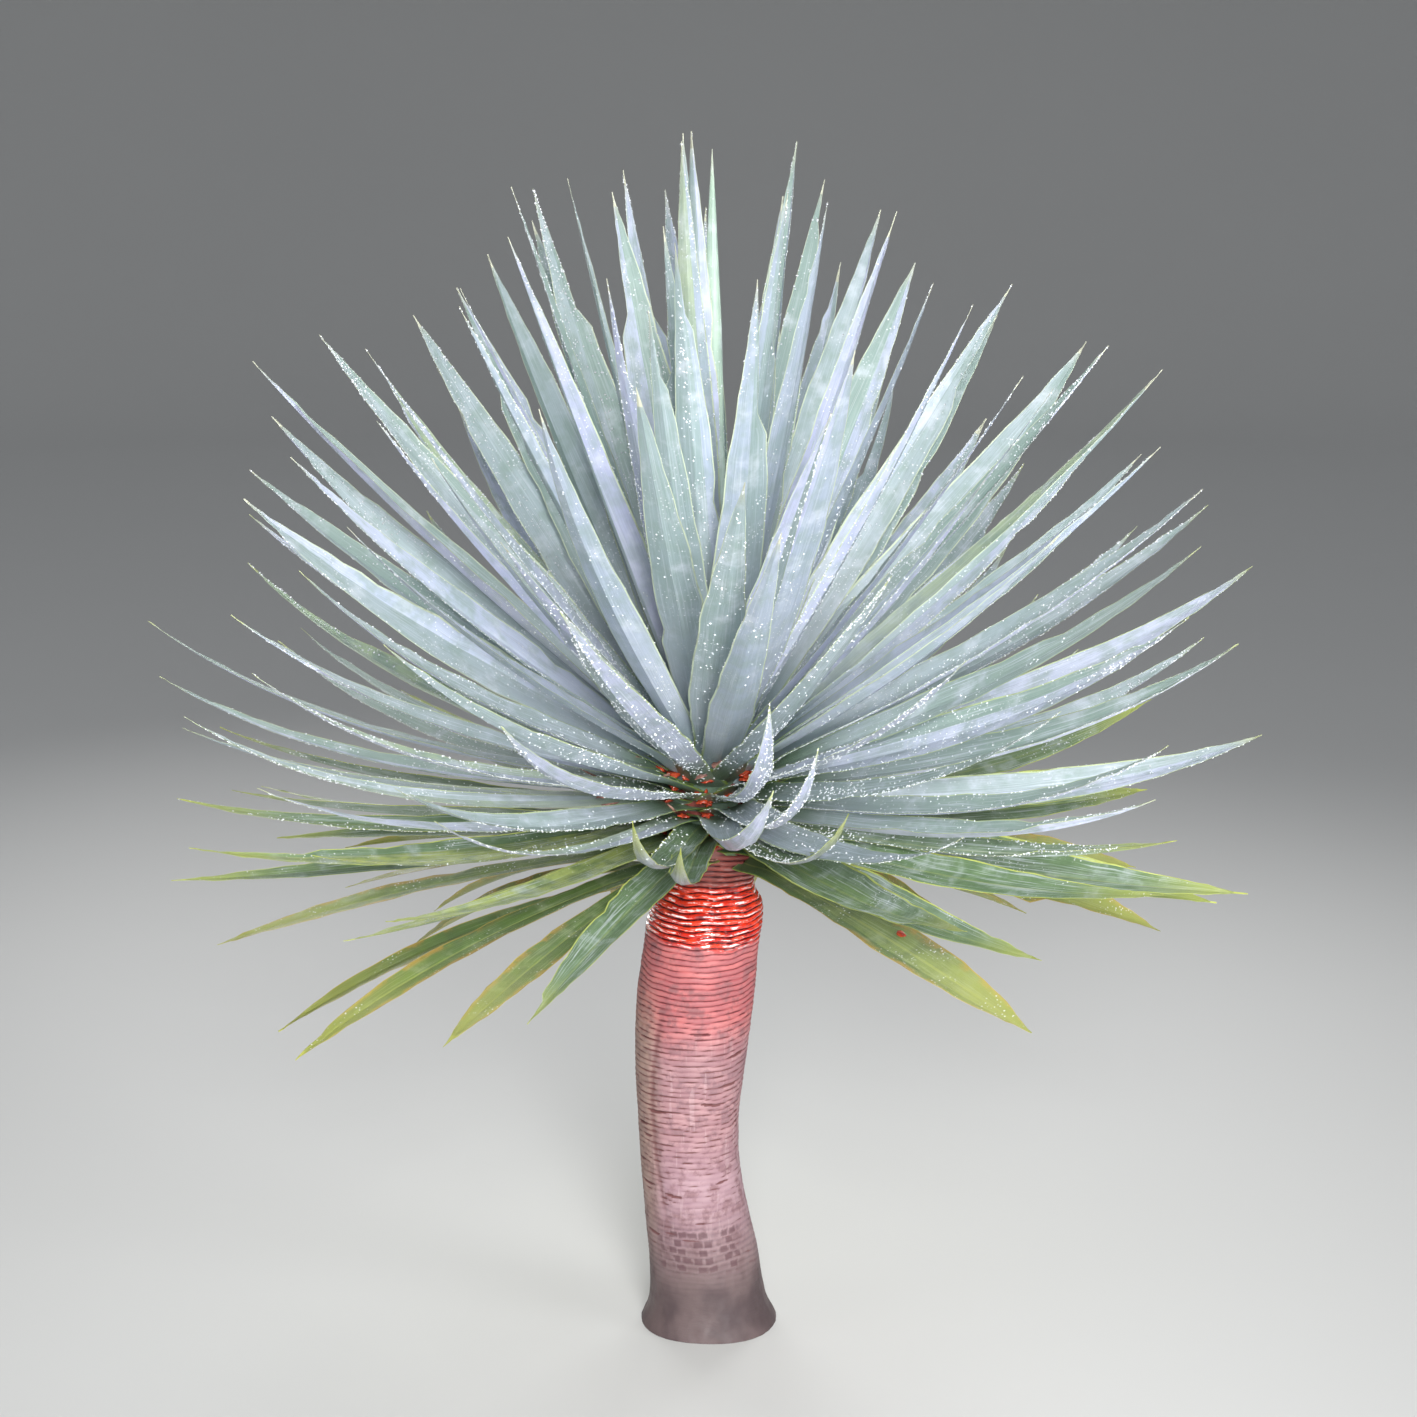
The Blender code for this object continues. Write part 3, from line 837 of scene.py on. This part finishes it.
def bark_relief(bearing, height):
    """How far the surface stands out in metres, and the strength of its marks, each from 0 to 1."""
    wander = RING_WANDER[0] * ripples("slow_wander", bearing, height)
    wander = wander + RING_WANDER[1] * ripples("quick_wander", bearing, height)
    turn = (height + wander) / RING_PITCH
    within = turn % 1
    ring = np.floor(turn)
    worn = step_between(*WORN_BELOW, height)
    glossy = step_between(GLOSS_FROM - GLOSS_FADE, GLOSS_FROM + GLOSS_FADE, height)
    edge = np.minimum(within, 1 - within)
    near_groove = np.floor(turn + 0.5)
    patches = ripples("grooves", bearing, near_groove * 3.1)
    kept = step_between(-1.3 + 1.7 * worn, -0.3 + 1.7 * worn, patches)
    strength = (0.45 + 0.55 * kept) * (1 - worn) + 0.8 * kept * worn
    groove = np.clip(1 - edge / (0.15 + 0.07 * glossy), 0, 1) * strength
    lens = ripples("slits", bearing, near_groove * 2.3) - 0.80
    lens = np.clip(lens, 0, 0.5) * (1 - glossy) * step_between(*SLITS_BELOW, height)
    slit = np.clip((lens * 0.55 - edge) / 0.07, 0, 1) * (0.5 + 0.5 * step_between(*SLITS_OPEN, height))
    ringed = zone(RINGED, height)
    crest = np.sin(pi * within) ** 0.7
    fat = 1 + 0.35 * ripples("crests", bearing, ring * 2.7)
    deep = (GROOVE_DEPTH[0] + GROOVE_DEPTH[1] * glossy) * groove + SLIT_DEPTH * slit
    proud = (CREST_HEIGHT[0] + CREST_HEIGHT[1] * glossy) * crest * fat * (1 - 0.45 * worn)
    seam_turn = bearing - radians(SEAM_BEARING) - 0.10 * np.sin(height * 23)
    seam = np.exp(-((seam_turn / 0.075) ** 2)) * zone(SEAMED, height)
    uneven = BARK_UNEVEN * ripples("uneven", bearing, height)
    fine = ripples("grain", bearing, height)
    relief = (proud - deep) * ringed + uneven + BARK_GRAIN * fine - SEAM_DEPTH * seam
    marks = np.clip((groove + slit) * ringed + 0.40 * seam, 0, 1)
    tone = 0.5 + 0.5 * np.sin(ring * 12.9898 + 2.2 * ripples("ring_tone", bearing, ring * 1.7))
    return relief, (marks, crest * ringed, tone, square_scars(bearing, height, wander, fine))


def square_scars(bearing, height, wander, fine):
    """Rows of square scars, staggered as bricks are, in a patch low on the front of the trunk."""
    row = (height + wander) / SCAR_RISE
    column = bearing / radians(SCAR_TURN) + 0.37 * np.floor(row) + 0.12 * fine
    beside = column % 1
    above = row % 1 + 0.06 * fine
    square = step_between(0.06, 0.16, np.minimum(beside, 1 - beside))
    square = square * step_between(0.08, 0.2, np.minimum(above, 1 - above))
    chosen = 0.35 + 0.65 * (np.sin(np.floor(row) * 7.13 + np.floor(column) * 3.71) > -0.6)
    patch = zone(SCARRED, height)
    patch = patch * step_between(*SCAR_SIDES, np.abs(bearing - radians(SCAR_MIDDLE)))
    return square * chosen * patch


def build_bark(turns):
    """The trunk's skin, ringed by old leaf scars, from the flat cut up into the head."""
    rows, radius, lean = bark_rows(turns)
    bearing = np.linspace(0, tau, BARK_COLUMNS, endpoint=False)[None, :]
    height = rows[:, None]
    relief, marks = bark_relief(bearing, height)
    out = radius[:, None] + relief - BARK_DEPTH
    x = lean[:, None] + out * np.cos(bearing)
    y = out * np.sin(bearing)
    z = np.broadcast_to(height, x.shape)
    points = np.stack([x, y, z], -1).reshape(-1, 3)
    grid = np.arange(len(points)).reshape(len(rows), BARK_COLUMNS)
    low, high = grid[:-1], grid[1:]
    quads = np.stack([low, np.roll(low, -1, 1), np.roll(high, -1, 1), high], -1).reshape(-1, 4)
    faces = quads.tolist() + [grid[0][::-1].tolist(), grid[-1].tolist()]
    mesh = plain_mesh("bark", points.tolist(), faces, 70)
    for name, values in zip(BARK_MARKS, marks):
        made = mesh.attributes.new(name, "FLOAT", "POINT")
        made.data.foreach_set("value", np.broadcast_to(values, x.shape).astype(np.float32).ravel())
    add_piece("bark", mesh, [bark_finish()], "trunk")


# Gum, scraps and dew


def lump(points, faces, middle, axes, uneven, chance):
    """Adds an uneven ball squashed to three half axes to lists of points and faces."""
    rings, columns = 7, 10
    first = len(points)
    phases = [chance.uniform(0, tau) for _ in range(4)]
    right, up, out = axes
    for k in range(1, rings):
        polar = pi * k / rings
        for i in range(columns):
            turned = tau * i / columns
            broad = sin(2 * turned + phases[0]) + sin(3 * turned + 2 * polar + phases[1])
            small = uneven * sin(5 * turned + phases[2]) * sin(3 * polar + phases[3])
            swell = 1 + uneven * broad / 2 + small / 2
            around = right * cos(turned) * sin(polar) + up * sin(turned) * sin(polar)
            points.append(middle + (around + out * cos(polar)) * swell)
    top, bottom = len(points), len(points) + 1
    points.extend((middle + out, middle - out))
    last = first + (rings - 2) * columns
    for low in range(first, last, columns):
        faces.extend(between_rings(low, low + columns, columns))
    for i in range(columns):
        j = (i + 1) % columns
        faces.append((top, first + i, first + j))
        faces.append((bottom, last + j, last + i))


def cell(face, row, column):
    """Corners of one cell of a leaf's face, and the directions across and along the leaf there."""
    corners = [Vector(face[row + a][column + b]) for a, b in ((0, 0), (0, 1), (1, 0), (1, 1))]
    return corners, (corners[1] - corners[0]).normalized(), (corners[2] - corners[0]).normalized()


def red_spot(face):
    """Middle and half axes of the flat red spot on a leaf."""
    row = SHEATH_STATIONS + int(SPOT_PLACE[0] * BLADE_STATIONS)
    column = min(range(len(ACROSS)), key=lambda i: abs(ACROSS[i] - SPOT_PLACE[1]))
    corners, side, along = cell(face, row, column)
    wide, thick = SPOT_SIZE
    return corners[0], (side * wide, along * wide * SPOT_LENGTH, along.cross(side) * thick)


def build_gum(turns, spotted):
    """Clots of red gum in the crotches between the leaf bases, and the red spot on one leaf."""
    chance = random.Random(SEEDS["gum"])
    points, faces = [], []
    for turn in turns[GUM_TURNS[0]:GUM_TURNS[1] + 1]:
        bearings = sorted(bearing for spray in TURNS[turn.index] for bearing in spray)
        for here, following in zip(bearings, bearings[1:] + [bearings[0] + 360]):
            if chance.random() > GUM_SHARE:
                continue
            crotch = (here + following) / 2 + chance.uniform(-3, 3)
            for _ in range(chance.randint(*GUM_CLOTS)):
                bearing = crotch + chance.gauss(0, GUM_SPREAD)
                out = turn.radius + chance.uniform(*GUM_OUT)
                middle = Vector(on_crown(out, turn.height + chance.uniform(*GUM_UP), bearing))
                outward, round_way = ways(bearing)
                wide = round_way * chance.uniform(*GUM_WIDE)
                tall = Vector((0, 0, chance.uniform(*GUM_TALL)))
                lump(points, faces, middle, (wide, tall, outward * GUM_DEEP), LUMP_UNEVEN, chance)
    middle, axes = red_spot(spotted)
    lump(points, faces, middle, axes, SPOT_UNEVEN, chance)
    finish = mottled_finish(
        "red_gum", 0.22, (210, 84, 50), (164, 54, 40), (160.0, 3.0, 0.6), (0.4, 0.62), Coat_Weight=0.6
    )
    add_piece("gum", plain_mesh("gum", points, faces), [finish])


def build_scraps(turns):
    """Dry papery scraps of old leaf bases, caught between the leaves near the stem."""
    chance = random.Random(SEEDS["scraps"])
    points, faces = [], []
    for _ in range(SCRAPS):
        turn = turns[chance.randint(*SCRAP_TURNS)]
        bearing = chance.uniform(0, 360)
        place = turn.along(chance.uniform(*SCRAP_REACH))[0]
        middle = Vector(on_crown(place.x, place.y + chance.uniform(*SCRAP_UP), bearing))
        outward, round_way = ways(bearing)
        outward = (outward + Vector((0, 0, chance.uniform(*SCRAP_SLOPE)))).normalized()
        facing = outward.cross(round_way)
        skew = Matrix.Rotation(chance.uniform(-SCRAP_SKEW, SCRAP_SKEW), 3, facing)
        long = skew @ outward * chance.uniform(*SCRAP_LONG)
        wide = skew @ round_way * chance.uniform(*SCRAP_WIDE)
        lump(points, faces, middle, (long, wide, facing * SCRAP_THICK), LUMP_UNEVEN, chance)
    finish = mottled_finish(
        "papery_scraps", 0.7, (190, 146, 132), (134, 92, 82), (120.0, 3.0, 0.6), (0.4, 0.6)
    )
    add_piece("scraps", plain_mesh("scraps", points, faces), [finish])


def build_dew(name, wet, finish):
    """Small drops in patches on the leaves above the lowest, thickest along margins and creases."""
    chance = random.Random(SEEDS[name])
    liking = list(itertools.accumulate(0.1 + chance.random() ** 2 for _ in wet))
    points, faces = [], []
    columns = len(ACROSS) - 1
    placed = 0
    while placed < DEW_DROPS:
        surface, side_up = chance.choices(wet, cum_weights=liking)[0]
        middle = chance.triangular(*DEW_ALONG)
        column = chance.choice(DEW_COLUMNS)
        for _ in range(chance.randint(*DEW_PATCH)):
            along_at = min(max(chance.gauss(middle, DEW_SCATTER[0]), 0.0), 0.99) * BLADE_STATIONS
            k = SHEATH_STATIONS + int(along_at)
            c = min(max(int(round(chance.gauss(column, DEW_SCATTER[1]))), 0), columns - 1)
            u, v = chance.random(), along_at % 1
            corners, side, along = cell(surface, k, c)
            spot = corners[0].lerp(corners[1], u).lerp(corners[2].lerp(corners[3], u), v)
            facing = along.cross(side).normalized() * side_up
            size = chance.uniform(*DEW_RADIUS) * chance.uniform(*DEW_SMALLER)
            top = len(points)
            points.append(spot + facing * size * DEW_HEIGHT)
            for i in range(4):
                turned = tau * i / 4
                rim = side * cos(turned) + along * side_up * sin(turned)
                points.append(spot + rim * size)
                faces.append((top, top + 1 + (i + 1) % 4, top + 1 + i))
            faces.append((top + 1, top + 2, top + 3, top + 4))
            placed += 1
    add_piece(name, plain_mesh(name, points, faces), [finish])


# Finishes


def paint(colour, share=1.0):
    """A colour from its 0 to 255 screen values, at a share of its light, as the shaders take it."""
    straight = []
    for value in (part / 255 for part in colour):
        straight.append((value / 12.92 if value <= 0.04045 else ((value + 0.055) / 1.055) ** 2.4) * share)
    return (*straight, 1.0)


class Web:
    """Lays out the nodes of one tree, wiring sockets and setting plain values."""

    def __init__(self, tree):
        self.tree = tree

    def add(self, kind, settings=None, **inputs):
        node = self.tree.nodes.new(kind)
        for key, value in (settings or {}).items():
            setattr(node, key, value)
        return self.fill(node, **inputs)

    def fill(self, node, **inputs):
        """Feeds a node's inputs by name, with _ for a space."""
        for key, value in inputs.items():
            self.feed(node.inputs[key.replace("_", " ")], value)
        return node

    def feed(self, socket, value):
        """Wires a socket in or sets its plain value. Three numbers are a colour's screen values."""
        if isinstance(value, bpy.types.NodeSocket):
            self.tree.links.new(value, socket)
        elif socket.type == "RGBA" and len(value) == 3:
            socket.default_value = paint(value)
        else:
            socket.default_value = value

    def math(self, operation, first, second):
        node = self.add("ShaderNodeMath", {"operation": operation})
        self.feed(node.inputs[0], first)
        self.feed(node.inputs[1], second)
        return node.outputs[0]

    def times(self, first, *others):
        for other in others:
            first = self.math("MULTIPLY", first, other)
        return first

    def plus(self, first, second):
        return self.math("ADD", first, second)

    def noise(self, vector, scale, detail=2.0, roughness=0.5):
        form = {"Scale": scale, "Detail": detail, "Roughness": roughness}
        return self.add("ShaderNodeTexNoise", Vector=vector, **form).outputs["Fac"]

    def spread(self, value, low, high, to_low=0.0, to_high=1.0):
        """The value moved from one range to another, held within it and eased at its ends."""
        ends = {"From_Min": low, "From_Max": high, "To_Min": to_low, "To_Max": to_high}
        eased = {"interpolation_type": "SMOOTHSTEP"}
        return self.add("ShaderNodeMapRange", eased, Value=value, **ends).outputs["Result"]

    def mix(self, share, first, second):
        node = self.add("ShaderNodeMix", {"data_type": "RGBA"}, Factor=share)
        self.feed(node.inputs[6], first)
        self.feed(node.inputs[7], second)
        return node.outputs[2]

    def layered(self, tone, *layers):
        """A colour with others over it. A layer: a value, any ends it comes in between, its colour."""
        for share, *ends, over in layers:
            tone = self.mix(self.spread(share, *ends) if ends else share, tone, over)
        return tone

    def solid(self):
        """The point's own place in space."""
        return self.add("ShaderNodeTexCoord").outputs["Object"]


def blade_group():
    """Where a point lies on its leaf, and the patterns that run along and across the blade."""
    name = "blade patterns"
    if name in bpy.data.node_groups:
        return bpy.data.node_groups[name]
    group = bpy.data.node_groups.new(name, "ShaderNodeTree")
    web = Web(group)
    place = web.add("ShaderNodeAttribute", {"attribute_name": "blade"})
    across, along, leaf = web.add("ShaderNodeSeparateXYZ", Vector=place.outputs["Vector"]).outputs
    own = web.times(leaf, 37.0)

    def pattern(over, down, scale, detail, roughness=0.5):
        over, down = web.times(across, over), web.times(along, down)
        spot = web.add("ShaderNodeCombineXYZ", X=over, Y=down, Z=own)
        return web.noise(spot.outputs[0], scale, detail, roughness)

    veins = pattern(11.0, 1.2, 3.0, 3.0, 0.6)
    fine = pattern(34.0, 2.0, 2.4, 1.0)
    solid = web.solid()
    drops = web.add("ShaderNodeTexVoronoi", Vector=solid, Scale=300.0).outputs["Distance"]
    rim = web.math("ABSOLUTE", across, 0.0)
    patches = web.plus(web.noise(solid, 24.0, 3.0), web.times(rim, 0.05))
    patterns = {
        "Along": along,
        "Rim": rim,
        "Veins": web.spread(veins, 0.30, 0.70),
        "Bands": web.spread(pattern(0.6, 10.0, 2.0, 3.0, 0.55), 0.38, 0.66),
        "Bloom": web.noise(solid, 38.0, 4.0, 0.62),
        # Dots of dew, painted white as the glint of clear drops
        "Dew": web.times(web.spread(drops, 0.26, 0.14), web.spread(patches, 0.50, 0.66)),
        "Streaks": web.spread(pattern(8.0, 3.0, 1.8, 2.5, 0.6), 0.52, 0.68),
        "Height": web.plus(web.times(veins, 0.6), web.times(fine, 0.4)),
    }
    for key in patterns:
        group.interface.new_socket(key, in_out="OUTPUT", socket_type="NodeSocketFloat")
    web.add("NodeGroupOutput", **patterns)
    return group


def new_finish(name, roughness, **plain):
    """A material, its web and its Principled shader, with plain values set."""
    made = bpy.data.materials.new(name)
    made.use_nodes = True
    web = Web(made.node_tree)
    shader = made.node_tree.nodes["Principled BSDF"]
    return made, web, web.fill(shader, Roughness=roughness, **plain)


def bump(web, shader, height, strength, distance):
    made = web.add("ShaderNodeBump", Height=height, Strength=strength, Distance=distance)
    web.fill(shader, Normal=made.outputs[0])


def blade_finish(name, roughness):
    """A new finish, with the patterns of the blade laid out in it."""
    made, web, shader = new_finish(name, roughness)
    return made, web, shader, web.add("ShaderNodeGroup", {"node_tree": blade_group()}).outputs


def leaf_face(name, colour, tier, is_upper):
    """One face of a leaf: waxy bloom over green, soft cross bands, fine veins, a darker base, with
    painted highlight streaks, painted light towards the base and dew painted as white glints.
    """
    made, web, shader, blade = blade_finish(name, 0.5)
    along, rim, bloom, dew = [blade[key] for key in ("Along", "Rim", "Bloom", "Dew")]
    layers = [
        (web.times(blade["Bands"], 0.70 if is_upper else 0.50), tier["band"]),
        (blade["Veins"], 0.5, 0.0, 0.0, 0.42, paint(colour, DARKER)),
        (bloom, 0.50, 0.74, 0.0, 0.40, tier["bloom_and_painted_light"]),
        # Painted highlights: pale streaks along the blade
        (web.times(blade["Streaks"], tier["painted_highlight_streaks"]), tier["bloom_and_painted_light"]),
        # Painted light: the blade paler towards its base, lifting the shade that the crowding leaves cast
        # there
        (along, *PAINTED_LIGHT_BELOW, 0.0, tier["painted_base_light"], tier["bloom_and_painted_light"]),
        (along, *GREEN_BELOW, 0.0, 0.88, tier["base"]),
        (web.times(web.spread(rim, 0.84, 0.94), web.spread(along, 0.22, 0.08), 0.8), (158, 182, 92)),
    ]
    if tier["midrib"]:
        layers.append((rim, 0.08, 0.03, 0.0, tier["midrib"], (188, 194, 112)))
    if tier["rust"]:
        patches = web.spread(bloom, 0.42, 0.56, 0.0, tier["rust"])
        burnt = web.times(web.spread(rim, 0.55, 0.92), web.spread(along, 0.35, 0.55), patches)
        layers.append((burnt, (208, 152, 66)))
    layers.append((along, tier["ripens_from"], 1.0, 0.0, 0.75, tier["tip"]))
    # Painted glints: the dew dots in white
    layers.append((web.times(dew, 0.85), (250, 252, 255)))
    rough = web.math("SUBTRACT", web.spread(bloom, 0.3, 0.7, 0.29, 0.50), web.times(dew, 0.25))
    web.fill(shader, Base_Color=web.layered(colour, *layers), Roughness=rough)
    bump(web, shader, blade["Height"], 0.7, tier["pleats"])
    return made


def leaf_rim(name, colour, root):
    """The thin pale rim of a leaf, or its small dry tip."""
    made, web, shader, blade = blade_finish(name, 0.55)
    mottled = (blade["Bloom"], 0.46, 0.66, paint(colour, DARKER))
    rooted = (blade["Along"], *RIM_GREEN_BELOW, root)
    web.fill(shader, Base_Color=web.layered(colour, mottled, rooted))
    bump(web, shader, blade["Bloom"], 0.3, 0.0004)
    return made


def bark_finish():
    """Ringed bark: glossy wet red under the leaves with painted highlights, salmon below, then pinkish
    grey, dark at the foot partly by painted shade.
    """
    made, web, shader = new_finish("bark_rings", 0.6, Coat_Roughness=0.14)
    solid = web.solid()
    side, _, height = web.add("ShaderNodeSeparateXYZ", Vector=solid).outputs
    groove, crest, own, scar = [
        web.add("ShaderNodeAttribute", {"attribute_name": name}).outputs["Fac"] for name in BARK_MARKS
    ]
    mottle = web.noise(solid, 75.0, 5.0, 0.65)
    coarse = web.noise(solid, 20.0, 3.0, 0.55)
    flat, upright = [
        web.add("ShaderNodeMapping", Vector=solid, Scale=(1.0, 1.0, squeeze)).outputs[0]
        for squeeze in (6.0, 0.1)
    ]
    lines = web.noise(flat, 80.0, 4.0, 0.7)
    cracks = web.noise(upright, 210.0, 2.0, 0.5)
    edge = web.plus(height, web.times(web.math("SUBTRACT", coarse, 0.5), 0.03))
    slant = web.plus(edge, web.times(side, 0.10))
    glossy = web.spread(slant, GLOSS_FROM - GLOSS_EDGE, GLOSS_FROM + GLOSS_EDGE)

    # Painted highlights: pale streaks along the crests of the wet red rings, standing in for reflections
    # of the lamps
    painted_crest_highlight = web.times(
        web.spread(crest, 0.78, 0.95), web.spread(lines, 0.49, 0.43), web.spread(coarse, 0.34, 0.48)
    )
    red = web.layered(
        (206, 36, 22),
        (own, (230, 62, 34)),
        (mottle, 0.52, 0.66, (150, 28, 24)),
        (lines, 0.56, 0.66, (96, 28, 36)),
        (painted_crest_highlight, (255, 238, 236)),
    )
    salmon = web.layered((184, 88, 88), (own, (158, 66, 72)), (mottle, 0.48, 0.66, (126, 58, 64)))
    pink = web.layered(
        (164, 122, 126),
        (own, (140, 98, 106)),
        (edge, *PALE_BELOW, web.mix(own, (162, 131, 140), (146, 113, 124))),
        (mottle, 0.46, 0.64, (120, 84, 92)),
        (cracks, 0.60, 0.68, 0.0, 0.22, (204, 180, 182)),
    )
    olive = web.layered((146, 122, 104), (mottle, 0.4, 0.66, (120, 96, 84)))
    left = web.times(web.spread(side, *OLIVE_LEFT_OF), web.spread(edge, *OLIVE_BELOW), 0.8)
    # The foot: dark grey-brown, partly painted shade
    foot = web.layered((98, 82, 82), (coarse, 0.4, 0.64, (76, 62, 64)))
    crack = web.layered((104, 62, 62), (edge, 0.24, 0.30, (98, 40, 46)), (glossy, (52, 14, 20)))
    tone = web.layered(
        pink,
        (edge, *SALMON_FROM, salmon),
        (left, olive),
        (edge, *FOOT_SHADE_BELOW, foot),
        # Painted highlight: the ring crests a little paler
        (web.times(crest, 0.18), (214, 180, 180)),
        (web.times(scar, 0.7), (84, 54, 60)),
        (glossy, red),
        (height, *NECK_FROM, 0.0, 0.85, (104, 62, 56)),
        (groove, 0.10, 0.70, 0.0, 0.95, crack),
    )

    dull = web.spread(mottle, 0.3, 0.7, 0.50, 0.75)
    wet = web.spread(lines, 0.4, 0.65, 0.14, 0.30)
    glossy = web.times(glossy, web.spread(height, *NECK_DULL))
    dry_part = web.times(web.math("SUBTRACT", 1.0, glossy), dull)
    rough = web.plus(dry_part, web.times(glossy, wet))
    web.fill(shader, Base_Color=tone, Roughness=rough, Coat_Weight=glossy)
    bump(web, shader, web.plus(mottle, lines), 0.45, 0.0007)
    return made


def mottled_finish(name, roughness, first, second, grain, edges=None, **plain):
    """Two colours that run into each other, with a fine relief where their edges are given."""
    made, web, shader = new_finish(name, roughness, **plain)
    mottle = web.noise(web.solid(), *grain)
    share = web.spread(mottle, *edges) if edges else mottle
    web.fill(shader, Base_Color=web.mix(share, first, second))
    if edges:
        bump(web, shader, mottle, 0.5, 0.001)
    return made


# Stage


def build_floor():
    """A plain pale floor, dished up all round at its far edge so that no view shows an end to it."""
    steps, columns = 12, 64
    profile = []
    for step in range(steps + 1):
        turned = radians(90 * step / steps)
        profile.append((FLOOR_FLAT + FLOOR_BEND * sin(turned), FLOOR_BEND * (1 - cos(turned))))
    profile.append((FLOOR_FLAT + FLOOR_BEND, FLOOR_RIM))
    points = [(0.0, 0.0, FLOOR_Z)]
    faces = [(0, 1 + i, 1 + (i + 1) % columns) for i in range(columns)]
    for radius, height in profile:
        for i in range(columns):
            turned = tau * i / columns
            points.append((radius * cos(turned), radius * sin(turned), height + FLOOR_Z))
    for low in range(1, len(points) - columns, columns):
        faces.extend(between_rings(low, low + columns, columns))
    floor = add_object("floor", plain_mesh("floor", points, faces))
    darker = paint(FLOOR_COLOUR, 0.97)
    floor.data.materials.append(mottled_finish("pale_floor", 0.85, FLOOR_COLOUR, darker, (1.3, 3.0)))


def build_studio():
    """Soft light: a broad key in front and above, a small one for the wet gloss, fills and a sky."""
    for name, (place, aim_z, width, power) in LAMPS.items():
        data = bpy.data.lights.new(name, "AREA")
        data.shape = "DISK"
        data.size = width
        data.energy = power
        data.spread = radians(LAMP_BEAM)
        add_object(name, data, place, (0.0, 0.0, aim_z))
    world = bpy.data.worlds.new("studio")
    world.use_nodes = True
    sky = world.node_tree.nodes["Background"]
    sky.inputs["Color"].default_value = SKY_COLOUR
    sky.inputs["Strength"].default_value = SKY_STRENGTH
    bpy.context.scene.world = world
    bpy.context.scene.view_settings.view_transform = "Standard"


def build_camera():
    data = bpy.data.cameras.new("camera")
    data.lens = LENS_MM
    rise = radians(CAMERA_RISE)
    aim = Vector((0.0, 0.0, AIM_Z))
    place = aim + Vector((0.0, -cos(rise), sin(rise))) * CAMERA_DISTANCE
    bpy.context.scene.camera = add_object("camera", data, place, aim)


build_camera()
build_studio()
build_floor()
crown_turns = all_turns()
build_bark(crown_turns)
rear_faces, front_faces, spotted_face = build_leaves(crown_turns)
# The drops are white, a painted glint standing in for the reflections of clear water
drops = mottled_finish("dew_drops_painted_glint", 0.12, (236, 242, 250), (252, 254, 255), (300.0, 1.0))
build_dew("dew_rear", rear_faces, drops)
build_dew("dew_front", front_faces, drops)
build_spear()
build_gum(crown_turns, spotted_face)
build_scraps(crown_turns)
